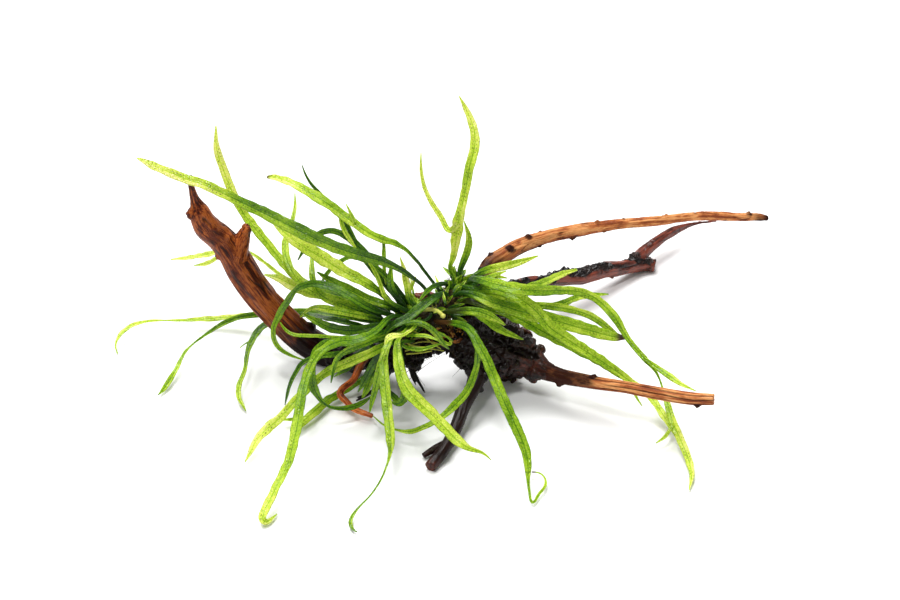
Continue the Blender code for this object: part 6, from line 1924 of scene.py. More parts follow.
            # The hollow is sunk, counts as a crack and gets painted shade.
            worn = self.hollow(vert.co)
            out -= cut.hollow_depth * worn
            crack = max(crack, worn)
            swell, near = self.knot_swell(vert.co, knots)
            out += swell * (0.8 + 0.5 * noise.noise(grain * 0.9))
            vert[grain_at] = grain + Vector((self.seed * 13, 0, 0))
            vert[shade_at] = min(1.0, dark + cut.knot_dark * near + cut.painted_hollow_shade * worn)
            vert[hollow_at] = crack
            vert.co = kept_in(vert.co + vert.normal * (out * MM), CAD_BOX)
            vert.co.z = max(vert.co.z, 0.0)
        return bm

    def knot_swell(self, point: Vector, knots: list[tuple[Vector, float]]) -> tuple[float, float]:
        """How far a knot swells the surface at a point, and how dark it makes it.

        Args:
            point: a point of the surface.
            knots: each knot's place and radius.

        Returns:
            Millimetres outwards, and 0 to 1 for the bark's darkness.
        """
        swell = near = 0.0
        for place, size in knots:
            reach = (point - place).length / size
            swell = max(swell, 0.75 * size / MM * (1 - smoothstep(0.2, 1.25, reach)))
            near = max(near, 1 - smoothstep(0.7, 1.6, reach))
        return swell, near

    def build(self) -> Object:
        """Builds the limb and puts it in its node's place."""
        piece = make_piece(f"{self.node}_wood", self.skin(), self.finish)
        declare(piece, self.slot, self.node)
        return piece


@dataclass
class Hub(Limb):
    """The crumbly middle of the driftwood, with a collar for each limb."""

    collars: tuple = ()
    lumps: tuple = HUB_LUMPS
    spike: Route = HUB_SPIKE
    crumbs: int = 80
    crumb_seed: int = 7
    calm_run: Route = ((506, 349, 18, 5), (520, 358, 15, 6), (536, 368, 13.5, 8.6),
                       (560, 376, 13.6, 6.4))
    calm_edge: tuple = (1.3, 2.5)
    # The hub's hollow, which is sunk and given painted shade.
    hollow_run: Route = ((511, 349.5, 19, 3.0), (524, 352.5, 18, 5.2), (536, 355.5, 17, 3.4))
    hollow_edge: tuple = (0.45, 1.15)
    knobs: Route = ((524, 338.5, 20.5, 3.4), (528, 335, 21.5, 2.2), (532, 343, 19.6, 4.4),
                    (539, 347.5, 18.2, 3.6), (541.5, 350, 17.2, 2.4), (541, 362, 16, 2.8),
                    (544.5, 364.5, 15.4, 2.0), (521, 371, 9.5, 6.4))

    def __post_init__(self) -> None:
        """Samples the routes, the smooth run and the hollow."""
        super().__post_init__()
        self.calm_strand = limb_strand("calm", self.calm_run)
        self.hollow_strand = limb_strand("hollow", self.hollow_run)
        self.hollow_lines = unit(self.hollow_strand.start - np.array(EYE))

    def calm(self, place: Vector) -> float:
        """Crumbly all over, but smooth where the front right branch sets in."""
        run = self.calm_strand
        apart = np.linalg.norm(run.start - np.array(place), axis=1)
        nearest = int(apart.argmin())
        reach = apart[nearest] / (run.widths[nearest] / 2)
        return 0.1 + 0.9 * smoothstep(*self.calm_edge, reach)

    def hollow(self, place: Vector) -> float:
        """The hollow under the overhang above the front right branch; it gets painted shade."""
        apart = np.linalg.norm(np.cross(self.hollow_lines, np.array(place - EYE)), axis=1)
        nearest = int(apart.argmin())
        reach = apart[nearest] / (self.hollow_strand.widths[nearest] / 2)
        return 1 - smoothstep(*self.hollow_edge, reach)

    def rough(self) -> BMesh:
        """The spine, the lumps, the collars and a sprinkling of crumbs."""
        bm = bmesh.new()
        self.solid(bm, self.strands[0], columns=24)
        self.solid(bm, limb_strand("spike", self.spike))
        for route, parting in self.collars:
            self.solid(bm, limb_strand("collar", route), end=parting * MM, swell=1.06)
        for number, (across, down, height, width) in enumerate(self.lumps + self.knobs):
            centre = spot(across, down, height)
            made = bmesh.ops.create_icosphere(bm, subdivisions=4, radius=width * MM / 2)["verts"]
            for vert in made:
                way = vert.co.normalized()
                crumble = noise.turbulence(way * 1.6 + Vector((number * 3.1, 0, 0)), 3, False)
                vert.co *= 1 + 0.3 * crumble
                vert.co += centre
        rng = random.Random(self.crumb_seed)
        for _ in range(self.crumbs):
            across, down, height, width = rng.choice(self.lumps)
            way = Vector((rng.gauss(0, 1), rng.gauss(0, 1), rng.gauss(0.3, 1))).normalized()
            place = spot(across, down, height) + way * (width * MM / 2 * rng.uniform(0.9, 1.08))
            size = rng.uniform(0.35, 1.0) * MM
            stretch = Matrix.Diagonal((rng.uniform(0.7, 1.6), rng.uniform(0.7, 1.6),
                                       rng.uniform(0.6, 1.2), 1))
            bmesh.ops.create_icosphere(bm, subdivisions=1, radius=size,
                                       matrix=Matrix.Translation(place) @ stretch)
        return bm


# Nodules too small for the CAD model: share of the length, turn, size in mm.
FINE_UPPER_KNOTS = (
    (0.137, 163, 2.4), (0.31, 175, 1.8), (0.295, 16, 2.2), (0.5, 28, 2.2), (0.56, 150, 1.6),
    (0.62, 40, 1.6), (0.69, 160, 1.7), (0.8, 144, 1.8), (0.87, 30, 1.5),
)
FINE_LOWER_KNOTS = (
    (0.556, 117, 2.6), (0.722, 109, 2.4), (0.741, 20, 2.4), (0.42, 60, 2.2), (0.981, 40, 2.6),
    (0.9, 165, 5.4),
)
FINE_ARM_KNOTS = ((0.72, 56, 3.6),)

# The split ends of the two dark twigs.
DARK_TWIG_PRONG: Route = ((369, 393.5, 5.8, 1.7), (362, 396, 5.2, 1.2), (356, 397.5, 4.6, 0.5))
SLIM_ROOT_TWIG: Route = (
    (408, 356, 14, 4.4), (412, 370, 10.6, 2.5), (418, 381, 7, 1.5), (425, 393, 3, 0.7),
)
ROOT_TWIG_PRONG: Route = ((411, 368, 11, 2.4), (412.5, 377, 8.6, 1.5), (416, 385.5, 6, 0.6))


@dataclass
class Driftwood:
    """The whole piece of wood."""

    @staticmethod
    def finishes() -> dict[str, Material]:
        """The wood's six finishes, by slot, or by node where a limb has its own."""
        reddish = WoodFinish("reddish_wood", (0.40, 0.105, 0.022), (0.115, 0.019, 0.006),
                             (0.024, 0.005, 0.003), (0.008, 0.002, 0.0015), 0.5, 0.2)
        orange = WoodFinish("orange_wood", (0.74, 0.35, 0.13), (0.46, 0.145, 0.044),
                            (0.22, 0.055, 0.02), (0.035, 0.009, 0.005), 0.5, 0.1)
        dark = WoodFinish("dark_wood", (0.30, 0.085, 0.055), (0.13, 0.032, 0.020),
                          (0.030, 0.008, 0.005), (0.0035, 0.0018, 0.0014), 0.5, 0.42, 0.5)
        soaked = WoodFinish("wet_red_wood", (0.26, 0.058, 0.032), (0.13, 0.027, 0.016),
                            (0.042, 0.010, 0.006), (0.0035, 0.0018, 0.0014), 0.45, 0.55, 0.5)
        leg = WoodFinish("leg_wood", (0.13, 0.034, 0.022), (0.06, 0.015, 0.010),
                         (0.024, 0.007, 0.005), (0.010, 0.0035, 0.0025), 0.5, 0.3, 0.5)
        twig = WoodFinish("red_twig_wood", (0.80, 0.24, 0.06), (0.50, 0.11, 0.025),
                          (0.12, 0.022, 0.006), (0.02, 0.005, 0.002), 0.5, 0.2)
        chosen = {"reddish_wood": reddish, "orange_wood": orange, "dark_wood": dark,
                  "red_twig": twig, "rear_lower_branch": soaked, "front_leg": leg}
        return {name: finish.material() for name, finish in chosen.items()}

    def build(self) -> Object:
        """Builds every limb, then the hub.

        Returns:
            The hub, which the roots lie on.
        """
        paints = self.finishes()
        smooth = Carving(ridge=0.95, ridge_length=26.0, ridge_width=3.6, thread=0.2, crack=0.5,
                         knot_dark=0.12, broken_start=60.5)
        # The twisted carving gives the rear upper branch painted shade on its underside.
        twisted = Carving(voxel=0.32, ridge=0.36, ridge_length=9.0, ridge_width=1.6, thread=0.16,
                          grit=0.12, knot_dark=0.32, painted_under_shade=0.4)
        split = Carving(voxel=0.25, ridge=0.22, ridge_length=70.0, ridge_width=1.2, crack=0.2,
                        crack_width=0.12, crack_run=40.0, grooves=(38, 84, 128, 196, 246, 300, 350),
                        groove_spread=11.0, knot_dark=0.9)
        wet = Carving(voxel=0.34, ridge=0.5, ridge_length=9.0, ridge_width=1.9, crumble=1.5,
                      crumble_size=2.9, top_only=True, fork_loose=0.25)
        fine = Carving(voxel=0.3, ridge=0.22, ridge_length=7.0, ridge_width=1.2, thread=0.08,
                       crack=0.12)
        rows = (
            ("left_arm", "reddish_wood", (LEFT_ARM, LEFT_ARM_STUB), LEFT_ARM_PARTING,
             LEFT_ARM_KNOTS + FINE_ARM_KNOTS,
             ((0.0, 0.95), (0.2, 0.78), (0.3, 0.48), (0.4, 0.25), (0.8, 0.12), (0.94, 0.35),
              (1.0, 0.8)), smooth),
            ("rear_upper_branch", "orange_wood", (REAR_UPPER_BRANCH,), REAR_UPPER_PARTING,
             REAR_UPPER_KNOTS + FINE_UPPER_KNOTS,
             ((0.0, 0.9), (0.15, 0.5), (0.3, 0.25), (0.6, 0.05), (0.86, 0.0), (0.94, 0.2),
              (1.0, 0.8)), twisted),
            ("rear_lower_branch", "dark_wood", (REAR_LOWER_BRANCH, REAR_LOWER_FORK),
             REAR_LOWER_PARTING, REAR_LOWER_KNOTS + FINE_LOWER_KNOTS,
             ((0.0, 0.8), (0.3, 0.35), (0.6, 0.1), (1.0, 0.1)), wet),
            ("front_right_branch", "orange_wood", (FRONT_RIGHT_BRANCH,), FRONT_RIGHT_PARTING,
             FRONT_RIGHT_KNOTS, ((0.0, 0.85), (0.2, 0.66), (0.36, 0.5), (0.46, 0.18), (1.0, 0.0)),
             split),
            ("front_leg", "dark_wood", (FRONT_LEG, FRONT_LEG_TOE), FRONT_LEG_PARTING, (),
             ((0.0, 0.9), (0.5, 0.78), (0.85, 0.66), (0.97, 0.5), (1.0, 0.1)), fine),
            ("red_twig", "reddish_wood", (RED_TWIG,), RED_TWIG_PARTING, (),
             ((0.0, 0.6), (0.3, 0.5), (0.5, 0.15), (0.62, 0.0), (0.78, 0.15), (1.0, 0.05)), fine),
            ("dark_twig", "dark_wood", (DARK_TWIG, DARK_TWIG_PRONG), DARK_TWIG_PARTING, (),
             ((0.0, 0.9), (1.0, 0.9)), fine),
            ("root_twig", "dark_wood", (SLIM_ROOT_TWIG, ROOT_TWIG_PRONG), ROOT_TWIG_PARTING, (),
             ((0.0, 0.9), (1.0, 0.9)), fine),
        )
        for number, (node, slot, routes, parting, knots, shades, carving) in enumerate(rows):
            paint = paints.get(node, paints[slot])
            Limb(node, slot, routes, paint, parting, knots, shades, carving, 2.3 + number).build()
        collars = tuple((routes[0], parting) for _, _, routes, parting, *_ in rows)
        crumbly = Carving(voxel=0.4, ridge=1.0, ridge_length=13.0, ridge_width=3.2, crumble=0.6,
                          crumble_size=2.6, grit=0.09, crack=0.6, chunk=2.3, chunk_size=6.2)
        hub = Hub("hub", "dark_wood", (HUB_SPINE,), paints["dark_wood"],
                  shades=((0.0, 0.8), (0.55, 0.92), (0.75, 0.72), (0.88, 0.55), (1.0, 0.6)),
                  carving=crumbly, seed=9.1, collars=collars)
        return hub.build()


# --------------------------------------------------------------------------
# Rhizome, young shoot, roots and moss
# --------------------------------------------------------------------------

# A direction that no strand of root or moss follows for long.
NO_WAY = (0.21, 0.37, 0.9)


@dataclass
class Thread:
    """A thin round strand of root or moss.

    Args:
        points: the places that it passes through.
        radius: its radius at its start.
        tint: its tint, from 0 to 1.
        columns: how many points each section has.
        taper: how much of its radius is gone at its end.
    """

    points: list[Vector]
    radius: float
    tint: float
    columns: int = 5
    taper: float = 0.7

    def add_to(self, bm: BMesh) -> None:
        """Adds the strand, which tapers to its end."""
        tint_at = bm.verts.layers.float["tint"]
        centres = np.array([tuple(point) for point in self.points])
        ways = headings(centres)
        sides = unit(np.cross(ways, np.array(NO_WAY)))
        tops = np.cross(sides, ways)
        last = len(centres) - 1

        def shape(vert: BMVert, section: int, angle: float) -> None:
            """Places one point of a round section."""
            radius = self.radius * (1 - self.taper * section / last)
            offset = sides[section] * math.cos(angle) + tops[section] * math.sin(angle)
            vert.co = Vector(centres[section] + offset * radius)
            vert[tint_at] = self.tint

        tube(bm, len(centres), self.columns, shape)


@dataclass
class Rhizome:
    """The creeping stem with its scales."""

    route: Route = RHIZOME
    scales: int = 170
    seed: int = 5
    scale_lengths: tuple = (1.2, 2.6)
    scale_radius: float = 0.26 * MM
    cloud: float = 2.2 * MM

    def build(self) -> Strand:
        """Builds the stem, scales included.

        Returns:
            The stem's samples.
        """
        strand = limb_strand("rhizome", self.route)
        scaly = Carving(voxel=0.34, ridge=0.4, ridge_length=3.0, ridge_width=1.8, crumble=0.6,
                        crumble_size=1.3)
        stem = Limb("rhizome", "rhizome_brown", (self.route,), None, carving=scaly, seed=4.4)
        bm = stem.skin()
        tint_at = bm.verts.layers.float.new("tint")
        for vert in bm.verts:
            vert[tint_at] = 0.35 + 0.35 * noise.noise(vert.co / self.cloud)
        rng = random.Random(self.seed)
        for _ in range(self.scales):
            along = rng.uniform(0.5 * MM, strand.along[-1])
            outward = strand.outward_at(along, rng.uniform(0, math.tau))
            rise, run = rng.uniform(0.35, 0.9), rng.uniform(-1, 1)
            lean = (outward * rise + strand.way_at(along) * run).normalized()
            length = rng.uniform(*self.scale_lengths) * MM
            base = strand.at(along) + outward * strand.radius_at(along) * 0.93
            middle = base + lean * length * 0.5 + outward * 0.12 * MM
            tint = rng.uniform(0.1, 0.9)
            Thread([base, middle, base + lean * length], self.scale_radius, tint, 4).add_to(bm)
        finish = FibreFinish("rhizome_brown", (0.006, 0.004, 0.002), (0.028, 0.020, 0.006),
                             (0.11, 0.10, 0.018)).material()
        piece = make_piece("rhizome_stem", bm, finish)
        declare(piece, "rhizome_brown", "rhizome")
        return strand


@dataclass
class YoungShoot:
    """The small curled shoot on the rhizome, with its side buds."""

    route: Route = YOUNG_SHOOT
    radius: float = 0.85 * MM
    taper: float = 0.1
    knob: float = 1.05 * MM
    buds: int = 4
    bud_length: float = 2.0 * MM
    seed: int = 3

    def build(self) -> None:
        """Builds the shoot and puts it in its node's place."""
        strand = limb_strand("young_shoot", self.route)
        bm = blank_mesh()
        points = [Vector(point) for point in eased(strand.start, 2)]
        Thread(points, self.radius, 0.8, 12, self.taper).add_to(bm)
        tint_at = bm.verts.layers.float["tint"]
        knob = bmesh.ops.create_icosphere(bm, subdivisions=3, radius=self.knob,
                                          matrix=Matrix.Translation(points[-1]))["verts"]
        for vert in knob:
            vert.co += 0.25 * MM * noise.noise(vert.co / (0.7 * MM)) * Vector((0.6, 0.6, 1))
            vert[tint_at] = 0.9
        rng = random.Random(self.seed)
        for bud in range(self.buds):
            base = points[int((bud + 0.2) / self.buds * (len(points) - 1))]
            way = Vector((rng.gauss(-0.6, 0.5), rng.gauss(0, 0.6), rng.uniform(-0.6, 0.4)))
            way.normalize()
            bend = way.cross(UP)
            run = [base + way * (share * self.bud_length) + bend * (share ** 2 * 0.9 * MM)
                   for share in (0, 0.35, 0.7, 1.0)]
            Thread(run, 0.5 * MM, rng.uniform(0.3, 0.9), 8, 0.5).add_to(bm)
        finish = FibreFinish("young_green", (0.16, 0.28, 0.03), (0.45, 0.52, 0.07),
                             (0.62, 0.60, 0.13), 0.35).material()
        declare(make_piece("young_shoot_curl", bm, finish), "young_green", "young_shoot")


# Hair roots that span the arch of the hub: pixel and height.
ARCH_ROOTS = (
    ((403, 385, 11), (412, 377, 14), (425, 366, 19), (450, 350, 25)),
    ((404, 374, 13), (415, 366, 17), (432, 357, 21), (448, 348, 25)),
    ((452, 352, 24), (462, 366, 18), (470, 379, 12)),
    ((410, 362, 15), (417, 375, 10), (425, 386, 5)),
    ((414, 378, 8), (421, 383, 6), (423, 392, 2.5)),
    ((468, 358, 16), (458, 371, 10), (452, 377, 7)),
    ((399, 362, 15), (396, 376, 10), (399, 389, 6)),
)


@dataclass
class RootsAndMoss:
    """Fine roots that creep over the hub, and moss on the rhizome.

    Args:
        hub: the finished hub.
        rhizome: the rhizome's samples.
    """

    hub: Object
    rhizome: Strand
    roots: int = 190
    root_seed: int = 11
    root_step: float = 1.0 * MM
    cling: float = 2.5 * MM
    rise: float = 0.12 * MM
    tufts: int = 150
    tuft_seed: int = 23
    radii: tuple = (0.09, 0.2)

    def build(self) -> None:
        """Builds the roots, then the moss."""
        self.build_roots()
        self.build_moss()

    def build_roots(self) -> None:
        """Builds the roots: dark threads that follow the wood."""
        bark = BVHTree.FromObject(self.hub, bpy.context.evaluated_depsgraph_get())
        rng = random.Random(self.root_seed)
        bm = blank_mesh()
        for _ in range(self.roots):
            along = rng.uniform(0.05, 0.98) * self.rhizome.along[-1]
            start, radius = self.rhizome.at(along), self.rhizome.radius_at(along)
            way = Vector((rng.gauss(0, 1), rng.gauss(0, 1), rng.uniform(-1.2, 0.2))).normalized()
            point = start + way * radius * 0.95
            points = [start + way * radius * 0.6, point]
            for _ in range(rng.randrange(9, 22)):
                veer = Vector((rng.gauss(0, 0.45), rng.gauss(0, 0.45), rng.gauss(-0.12, 0.4)))
                way = (way + veer).normalized()
                point = point + way * self.root_step
                nearest, normal, _, distance = bark.find_nearest(point, 12 * MM)
                if nearest is not None and distance < self.cling:
                    point = point.lerp(nearest + normal * self.rise, 0.8)
                point.z = max(point.z, 0.2 * MM)
                points.append(point)
            Thread(points, rng.uniform(*self.radii) * MM, rng.uniform(0.0, 0.75)).add_to(bm)
        for number, route in enumerate(ARCH_ROOTS):
            strand = limb_strand("arch_root", tuple((*place, 0.3) for place in route))
            Thread(strand.vectors(), 0.15 * MM, 0.15 * (number % 4)).add_to(bm)
        finish = FibreFinish("root_brown", (0.006, 0.003, 0.002), (0.035, 0.015, 0.006),
                             (0.15, 0.085, 0.025)).material()
        declare(make_piece("creeping_roots", bm, finish), "rhizome_brown")

    def build_moss(self) -> None:
        """Builds the moss: short curled olive threads on the rhizome."""
        rng = random.Random(self.tuft_seed)
        bm = blank_mesh()
        for _ in range(self.tufts):
            along = rng.uniform(0.1, 0.98) * self.rhizome.along[-1]
            outward = Vector((rng.gauss(0, 1), rng.gauss(-0.3, 1), rng.gauss(0.4, 0.8)))
            outward.normalize()
            base = self.rhizome.at(along) + outward * self.rhizome.radius_at(along) * 0.9
            tint = rng.random()
            for _ in range(rng.randrange(2, 5)):
                way = (outward + Vector([rng.gauss(0, 0.6) for _ in range(3)])).normalized()
                curl = way.cross(Vector([rng.gauss(0, 1) for _ in range(3)])).normalized()
                length = rng.uniform(1.4, 4.2) * MM
                run = [base + way * (share * length) + curl * (math.sin(share * 3) * 0.28 * length)
                       for share in (0, 0.25, 0.5, 0.75, 1.0)]
                radius = rng.uniform(*self.radii) * MM
                Thread(run, radius, min(1.0, tint + rng.uniform(0, 0.3))).add_to(bm)
        finish = FibreFinish("moss_olive", (0.025, 0.022, 0.005), (0.10, 0.12, 0.014),
                             (0.40, 0.42, 0.05)).material()
        declare(make_piece("rhizome_moss", bm, finish), "rhizome_brown")


# --------------------------------------------------------------------------
# Small growth: young leaves, old stems, leaf bases and dead scales
# --------------------------------------------------------------------------

SMALL_LEAVES = (
    Frond("bunch", (
        (417, 313, 37, 1.6), (412, 306, 39.5, 2.8), (405, 300, 41, 2.4), (400, 297, 41.5, 0.5)),
        roll=10, shades=(0.6, 0.42, 0.36)),
    Frond("bunch", (
        (416, 314, 37.5, 1.6), (409, 310, 39.5, 3.2), (402, 309, 40.5, 2.6), (395, 313, 40, 0.5)),
        roll=-14, shades=(0.6, 0.5, 0.4)),
    Frond("bunch", (
        (418, 312, 37.5, 1.6), (416, 303, 40, 2.8), (412, 296, 42, 1.8), (409, 291, 43, 0.4)),
        roll=18, shades=(0.6, 0.38, 0.3)),
    Frond("bunch", (
        (421, 312, 37.5, 1.6), (420, 305, 40, 2.6), (417, 298, 41, 0.5)),
        shades=(0.6, 0.45, 0.4)),
    Frond("sprout", (
        (409, 300, 40, 1.2), (406, 290, 43, 1.4), (403, 280, 46, 1.0), (402, 271, 48, 0.3)),
        roll=20, shades=(0.3, 0.08, 0.0)),
    Frond("sprout", (
        (412, 299, 40, 1.2), (409, 288, 43, 1.4), (405, 278, 46, 0.9), (404, 269, 48.5, 0.3)),
        roll=-20, shades=(0.25, 0.02, 0.0)),
    Frond("sprout", (
        (414, 297, 40, 0.9), (412, 285, 44, 0.9), (410, 276, 46, 0.3)),
        shades=(0.3, 0.1, 0.05)),
    Frond("sprout", (
        (443, 291, 41, 1.0), (438, 283, 43, 1.4), (435, 275, 44.5, 0.3)),
        roll=15, shades=(0.3, 0.05, 0.0)),
    Frond("sprout", (
        (446, 305, 43, 1.0), (444, 298, 45, 1.3), (443, 292, 46, 0.3)),
        shades=(0.4, 0.1, 0.0)),
    Frond("curl", (
        (438, 338, 34, 1.0), (446, 343.5, 33, 1.5), (451.5, 346, 32, 1.3), (453, 342.5, 33, 1.0),
        (449.5, 341, 34, 0.5)),
        shades=(0.6, 0.4, 0.3)),
    # The "under" leaves have dark tones: their own dark green, partly painted shade under the
    # crown.
    Frond("under", (
        (376, 348, 34, 2), (360, 359, 27, 3.2), (346, 369, 21, 3.2), (334, 377, 16, 0.5)),
        roll=12, shades=(0.8, 0.8, 0.6)),
    Frond("under", (
        (380, 352, 33, 2), (372, 366, 26, 3.2), (365, 380, 19, 3.2), (358, 392, 14, 0.5)),
        roll=-12, shades=(0.9, 0.75, 0.6)),
    Frond("under", (
        (372, 345, 35, 2), (358, 354, 29, 3), (347, 364, 24, 2.6), (338, 371, 20, 0.5)),
        roll=20, shades=(0.9, 0.85, 0.6)),
    Frond("under", (
        (374, 371, 23, 1.6), (370, 381, 18, 3.2), (366, 391, 14, 2.8), (362, 398, 11, 0.5)),
        roll=8, shades=(0.5, 0.45, 0.4)),
    Frond("under", (
        (388, 390, 17, 1.6), (395, 399, 13, 3.2), (402, 404, 11, 3.0), (407, 401, 12, 0.5)),
        roll=-20, shades=(0.7, 0.6, 0.5)),
    Frond("under", (
        (456, 322, 36, 1.8), (463, 327, 34.5, 2.6), (470, 329, 33.5, 2.4), (478, 332, 32, 0.5)),
        roll=10, shades=(0.9, 0.85, 0.7)),
    Frond("under", (
        (449, 313, 40, 1.8), (457, 314, 40.5, 2.4), (466, 313, 40.5, 2.2), (474, 315, 39.5, 0.5)),
        roll=-10, shades=(0.9, 0.8, 0.7)),
)

# Old, thin leaf stems below the crown.
OLD_STEMS = (
    ((404, 344, 33, 0.8), (418, 338, 35, 0.7), (434, 338, 34, 0.7), (447, 343, 31, 0.5)),
    ((404, 348, 31, 0.8), (420, 342, 33, 0.7), (436, 343, 32, 0.7), (449, 349, 29, 0.4)),
    ((405, 351, 30, 0.8), (418, 348, 31, 0.7), (432, 349, 30, 0.7), (444, 351, 28, 0.5)),
    ((402, 340, 34, 0.8), (414, 346, 32, 0.7), (430, 347, 31, 0.7), (440, 344, 31, 0.4)),
    ((406, 354, 29, 0.7), (420, 353, 29, 0.7), (432, 351, 29, 0.5)),
    ((424, 337, 34, 0.8), (432, 343, 32, 0.7), (441, 349, 30, 0.5)),
    ((396, 336, 38, 0.9), (404, 331, 40, 0.8), (414, 331, 40, 0.7), (420, 336, 38, 0.4)),
)

CROWN_BARK: Route = (
    (402, 305, 33, 3), (414, 299.5, 35.5, 5), (428, 298.5, 37, 5.4), (442, 299, 37, 4),
)


@dataclass
class SmallGrowth:
    """What fills the crown between the fronds.

    Args:
        hub: the finished hub.
        rhizome: the rhizome's samples.
    """

    hub: Object
    rhizome: Strand
    bases: int = 34
    base_seed: int = 17
    flakes: int = 90
    flake_seed: int = 41
    flake_field: tuple = ((431, 318), (462, 342))

    def build(self) -> None:
        """Builds the young leaves, the stems, the bark under the crown and the scales."""
        self.build_leaves()
        self.build_stems()
        self.build_bark()
        self.build_flakes()

    def build_leaves(self) -> None:
        """Builds the listed young leaves, and leaf bases all round the rhizome."""
        bm = leaf_mesh()
        for number, leaf in enumerate(SMALL_LEAVES):
            strand = Strand(leaf.name, leaf.name, *picked(leaf.route))
            Ribbon(leaf, strand, 0.9 + 1.93 * number, stalk=3 * MM).add_to(bm)
        rng = random.Random(self.base_seed)
        for number in range(self.bases):
            along = (0.3 + 0.7 * number / self.bases) * self.rhizome.along[-1]
            outward = self.rhizome.outward_at(along, rng.uniform(-0.15, 1.15) * math.pi)
            way = self.rhizome.way_at(along)
            lean = (way * rng.uniform(-0.2, 1.0) + outward * 0.8).normalized()
            length = rng.uniform(5.0, 10.0) * MM
            fall = Vector((0, 0, -rng.uniform(0.1, 0.45)))
            base = self.rhizome.at(along) + outward * self.rhizome.radius_at(along) * 0.8
            knots = [base + lean * (share * length) + fall * (share ** 2 * length)
                     for share in (0.0, 0.3, 0.65, 1.0)]
            width = rng.uniform(1.5, 2.6) * MM
            roll = rng.uniform(-30, 30)
            leaf = Frond("base", (), roll=roll, shades=(0.8, rng.uniform(0.35, 0.75), 0.3))
            strand = Strand("base", "base", knots, [0.7 * width, width, 0.9 * width, 0.3 * MM])
            Ribbon(leaf, strand, 40 + 1.31 * number, stalk=2.5 * MM, stalk_dark_and_shade=0.2).add_to(bm)
        piece = make_piece("young_leaves", bm, LeafFinish("leaf_young").material())
        declare(piece, LeafTone.MID.value[0])

    def build_stems(self) -> None:
        """Builds the old leaf stems."""
        bm = blank_mesh()
        for number, route in enumerate(OLD_STEMS):
            tint = 0.25 + 0.5 * abs(math.sin(2.7 * number))
            stem = limb_strand("old_stem", route)
            Thread(stem.vectors(), 0.36 * MM, tint, 8, 0.4).add_to(bm)
        finish = FibreFinish("old_stem", (0.05, 0.045, 0.006), (0.20, 0.20, 0.018),
                             (0.42, 0.44, 0.05), wet=0.5).material()
        declare(make_piece("old_stems", bm, finish), "rhizome_brown")

    def build_bark(self) -> None:
        """Builds the reddish bit of bark that shows behind the crown."""
        finish = WoodFinish("crown_bark", (0.26, 0.085, 0.05), (0.13, 0.034, 0.020),
                            (0.04, 0.010, 0.006), (0.010, 0.003, 0.002))
        bark = Limb("crown_bark", "dark_wood", (CROWN_BARK,), finish.material(),
                    shades=((0.0, 0.5), (0.4, 0.2), (1.0, 0.4)),
                    carving=Carving(voxel=0.34, ridge=0.5, crumble=0.7), seed=6.6)
        declare(make_piece("crown_bark", bark.skin(), bark.finish), "dark_wood")

    def build_flakes(self) -> None:
        """Builds the dead brown scales that lie on the crown where it is open."""
        bark = BVHTree.FromObject(self.hub, bpy.context.evaluated_depsgraph_get())
        rng = random.Random(self.flake_seed)
        bm = blank_mesh()
        tint_at = bm.verts.layers.float["tint"]
        (left, top), (right, bottom) = self.flake_field
        for _ in range(self.flakes):
            line = sight_line(rng.uniform(left, right), rng.uniform(top, bottom))
            size = rng.uniform(0.5, 1.15) * MM
            lean = Vector((rng.gauss(0, 0.6), rng.gauss(0, 0.6), 1)).normalized()
            stretch = Matrix.Diagonal((rng.uniform(0.8, 1.6), rng.uniform(0.5, 1.0), 0.3, 1))
            tint = rng.random()
            place, normal, _, _ = bark.ray_cast(EYE, line.normalized())
            if place is None:
                continue
            turn = normal.to_track_quat("Z", "Y") @ UP.rotation_difference(lean)
            at = Matrix.Translation(place + normal * 0.5 * MM)
            flake = bmesh.ops.create_icosphere(bm, subdivisions=2, radius=size,
                                               matrix=at @ turn.to_matrix().to_4x4() @ stretch)
            for vert in flake["verts"]:
                vert.co += normal * (0.5 * MM * noise.noise(vert.co / (0.8 * MM)))
                vert[tint_at] = tint
        finish = FibreFinish("dead_scale", (0.05, 0.014, 0.004), (0.22, 0.075, 0.014),
                             (0.50, 0.27, 0.05)).material()
        declare(make_piece("dead_scales", bm, finish), "rhizome_brown")


# --------------------------------------------------------------------------
# Studio
# --------------------------------------------------------------------------

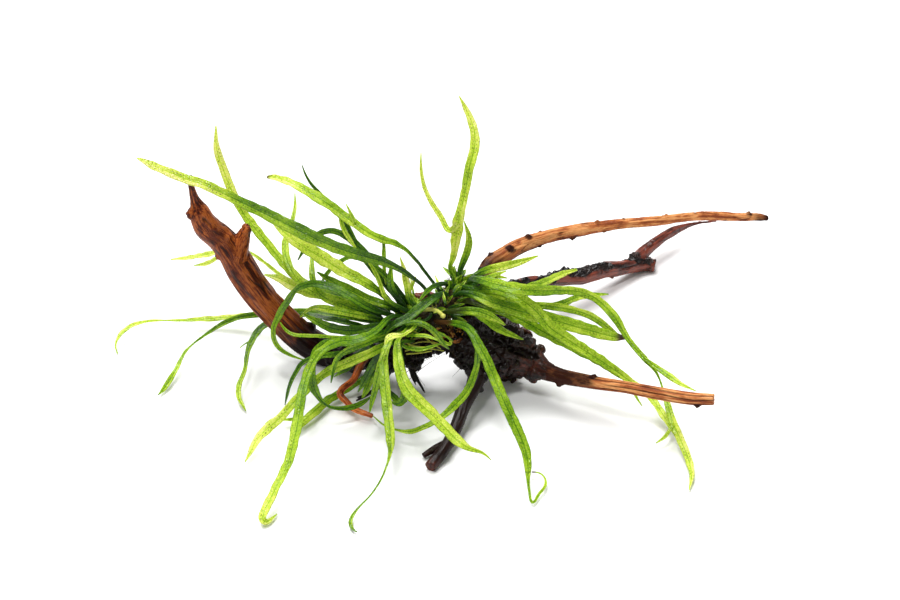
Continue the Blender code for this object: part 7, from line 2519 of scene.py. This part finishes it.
@dataclass
class Studio:
    """The floor, the light and the camera."""

    floor_size: float = 8.0
    sky: float = 0.38
    key_power: float = 3.7
    key_spread: float = math.radians(40)
    key_place: Vector = field(default_factory=lambda: Vector((-0.22, 0.42, 1.1)))
    fill_power: float = 4.4
    fill_size: float = 0.17
    fill_place: Vector = field(default_factory=lambda: Vector((-0.12, -0.42, 1.05)))

    def build(self) -> None:
        """Builds the whole studio."""
        self.build_floor()
        key = bpy.data.lights.new("key_light", "SUN")
        key.energy = self.key_power
        key.angle = self.key_spread
        self.hang(key, self.key_place)
        fill = bpy.data.lights.new("fill_light", "AREA")
        fill.energy = self.fill_power
        fill.size = self.fill_size
        self.hang(fill, self.fill_place)
        world = bpy.data.worlds.new("white_room")
        world.use_nodes = True
        background = world.node_tree.nodes["Background"]
        background.inputs["Color"].default_value = (1.0, 1.0, 1.0, 1.0)
        background.inputs["Strength"].default_value = self.sky
        bpy.context.scene.world = world
        bpy.context.scene.view_settings.view_transform = "Standard"
        self.build_camera()

    def build_floor(self) -> None:
        """A plain white floor."""
        bm = bmesh.new()
        bmesh.ops.create_grid(bm, x_segments=1, y_segments=1, size=self.floor_size / 2)
        floor = make_piece("floor", bm, PlainFloorFinish().material())

    def hang(self, lamp: bpy.types.Light, place: Vector) -> None:
        """Hangs a lamp where it looks at the plant."""
        item = bpy.data.objects.new(lamp.name, lamp)
        item.location = place
        item.rotation_euler = (VIEW_TARGET - place).to_track_quat("-Z", "Y").to_euler()
        bpy.context.scene.collection.objects.link(item)

    def build_camera(self) -> None:
        """The camera, where the picture was taken from."""
        camera = bpy.data.cameras.new("camera")
        camera.sensor_width = SENSOR_WIDTH_MM
        camera.lens = FOCAL_PX / PICTURE_SIZE[0] * SENSOR_WIDTH_MM
        camera.clip_start = 0.01
        item = bpy.data.objects.new("camera", camera)
        item.location = EYE
        item.rotation_euler = VIEW_FORWARD.to_track_quat("-Z", "Y").to_euler()
        bpy.context.scene.collection.objects.link(item)
        bpy.context.scene.camera = item


def main() -> None:
    """Builds the studio, the wood, the rhizome, the small growth and the fronds."""
    logging.basicConfig(level=logging.INFO, format="%(message)s")
    noise.seed_set(NOISE_SEED)
    Studio().build()
    hub = Driftwood().build()
    rhizome = Rhizome().build()
    YoungShoot().build()
    RootsAndMoss(hub, rhizome).build()
    SmallGrowth(hub, rhizome).build()
    FernFronds().build()


if __name__ == "__main__":
    main()
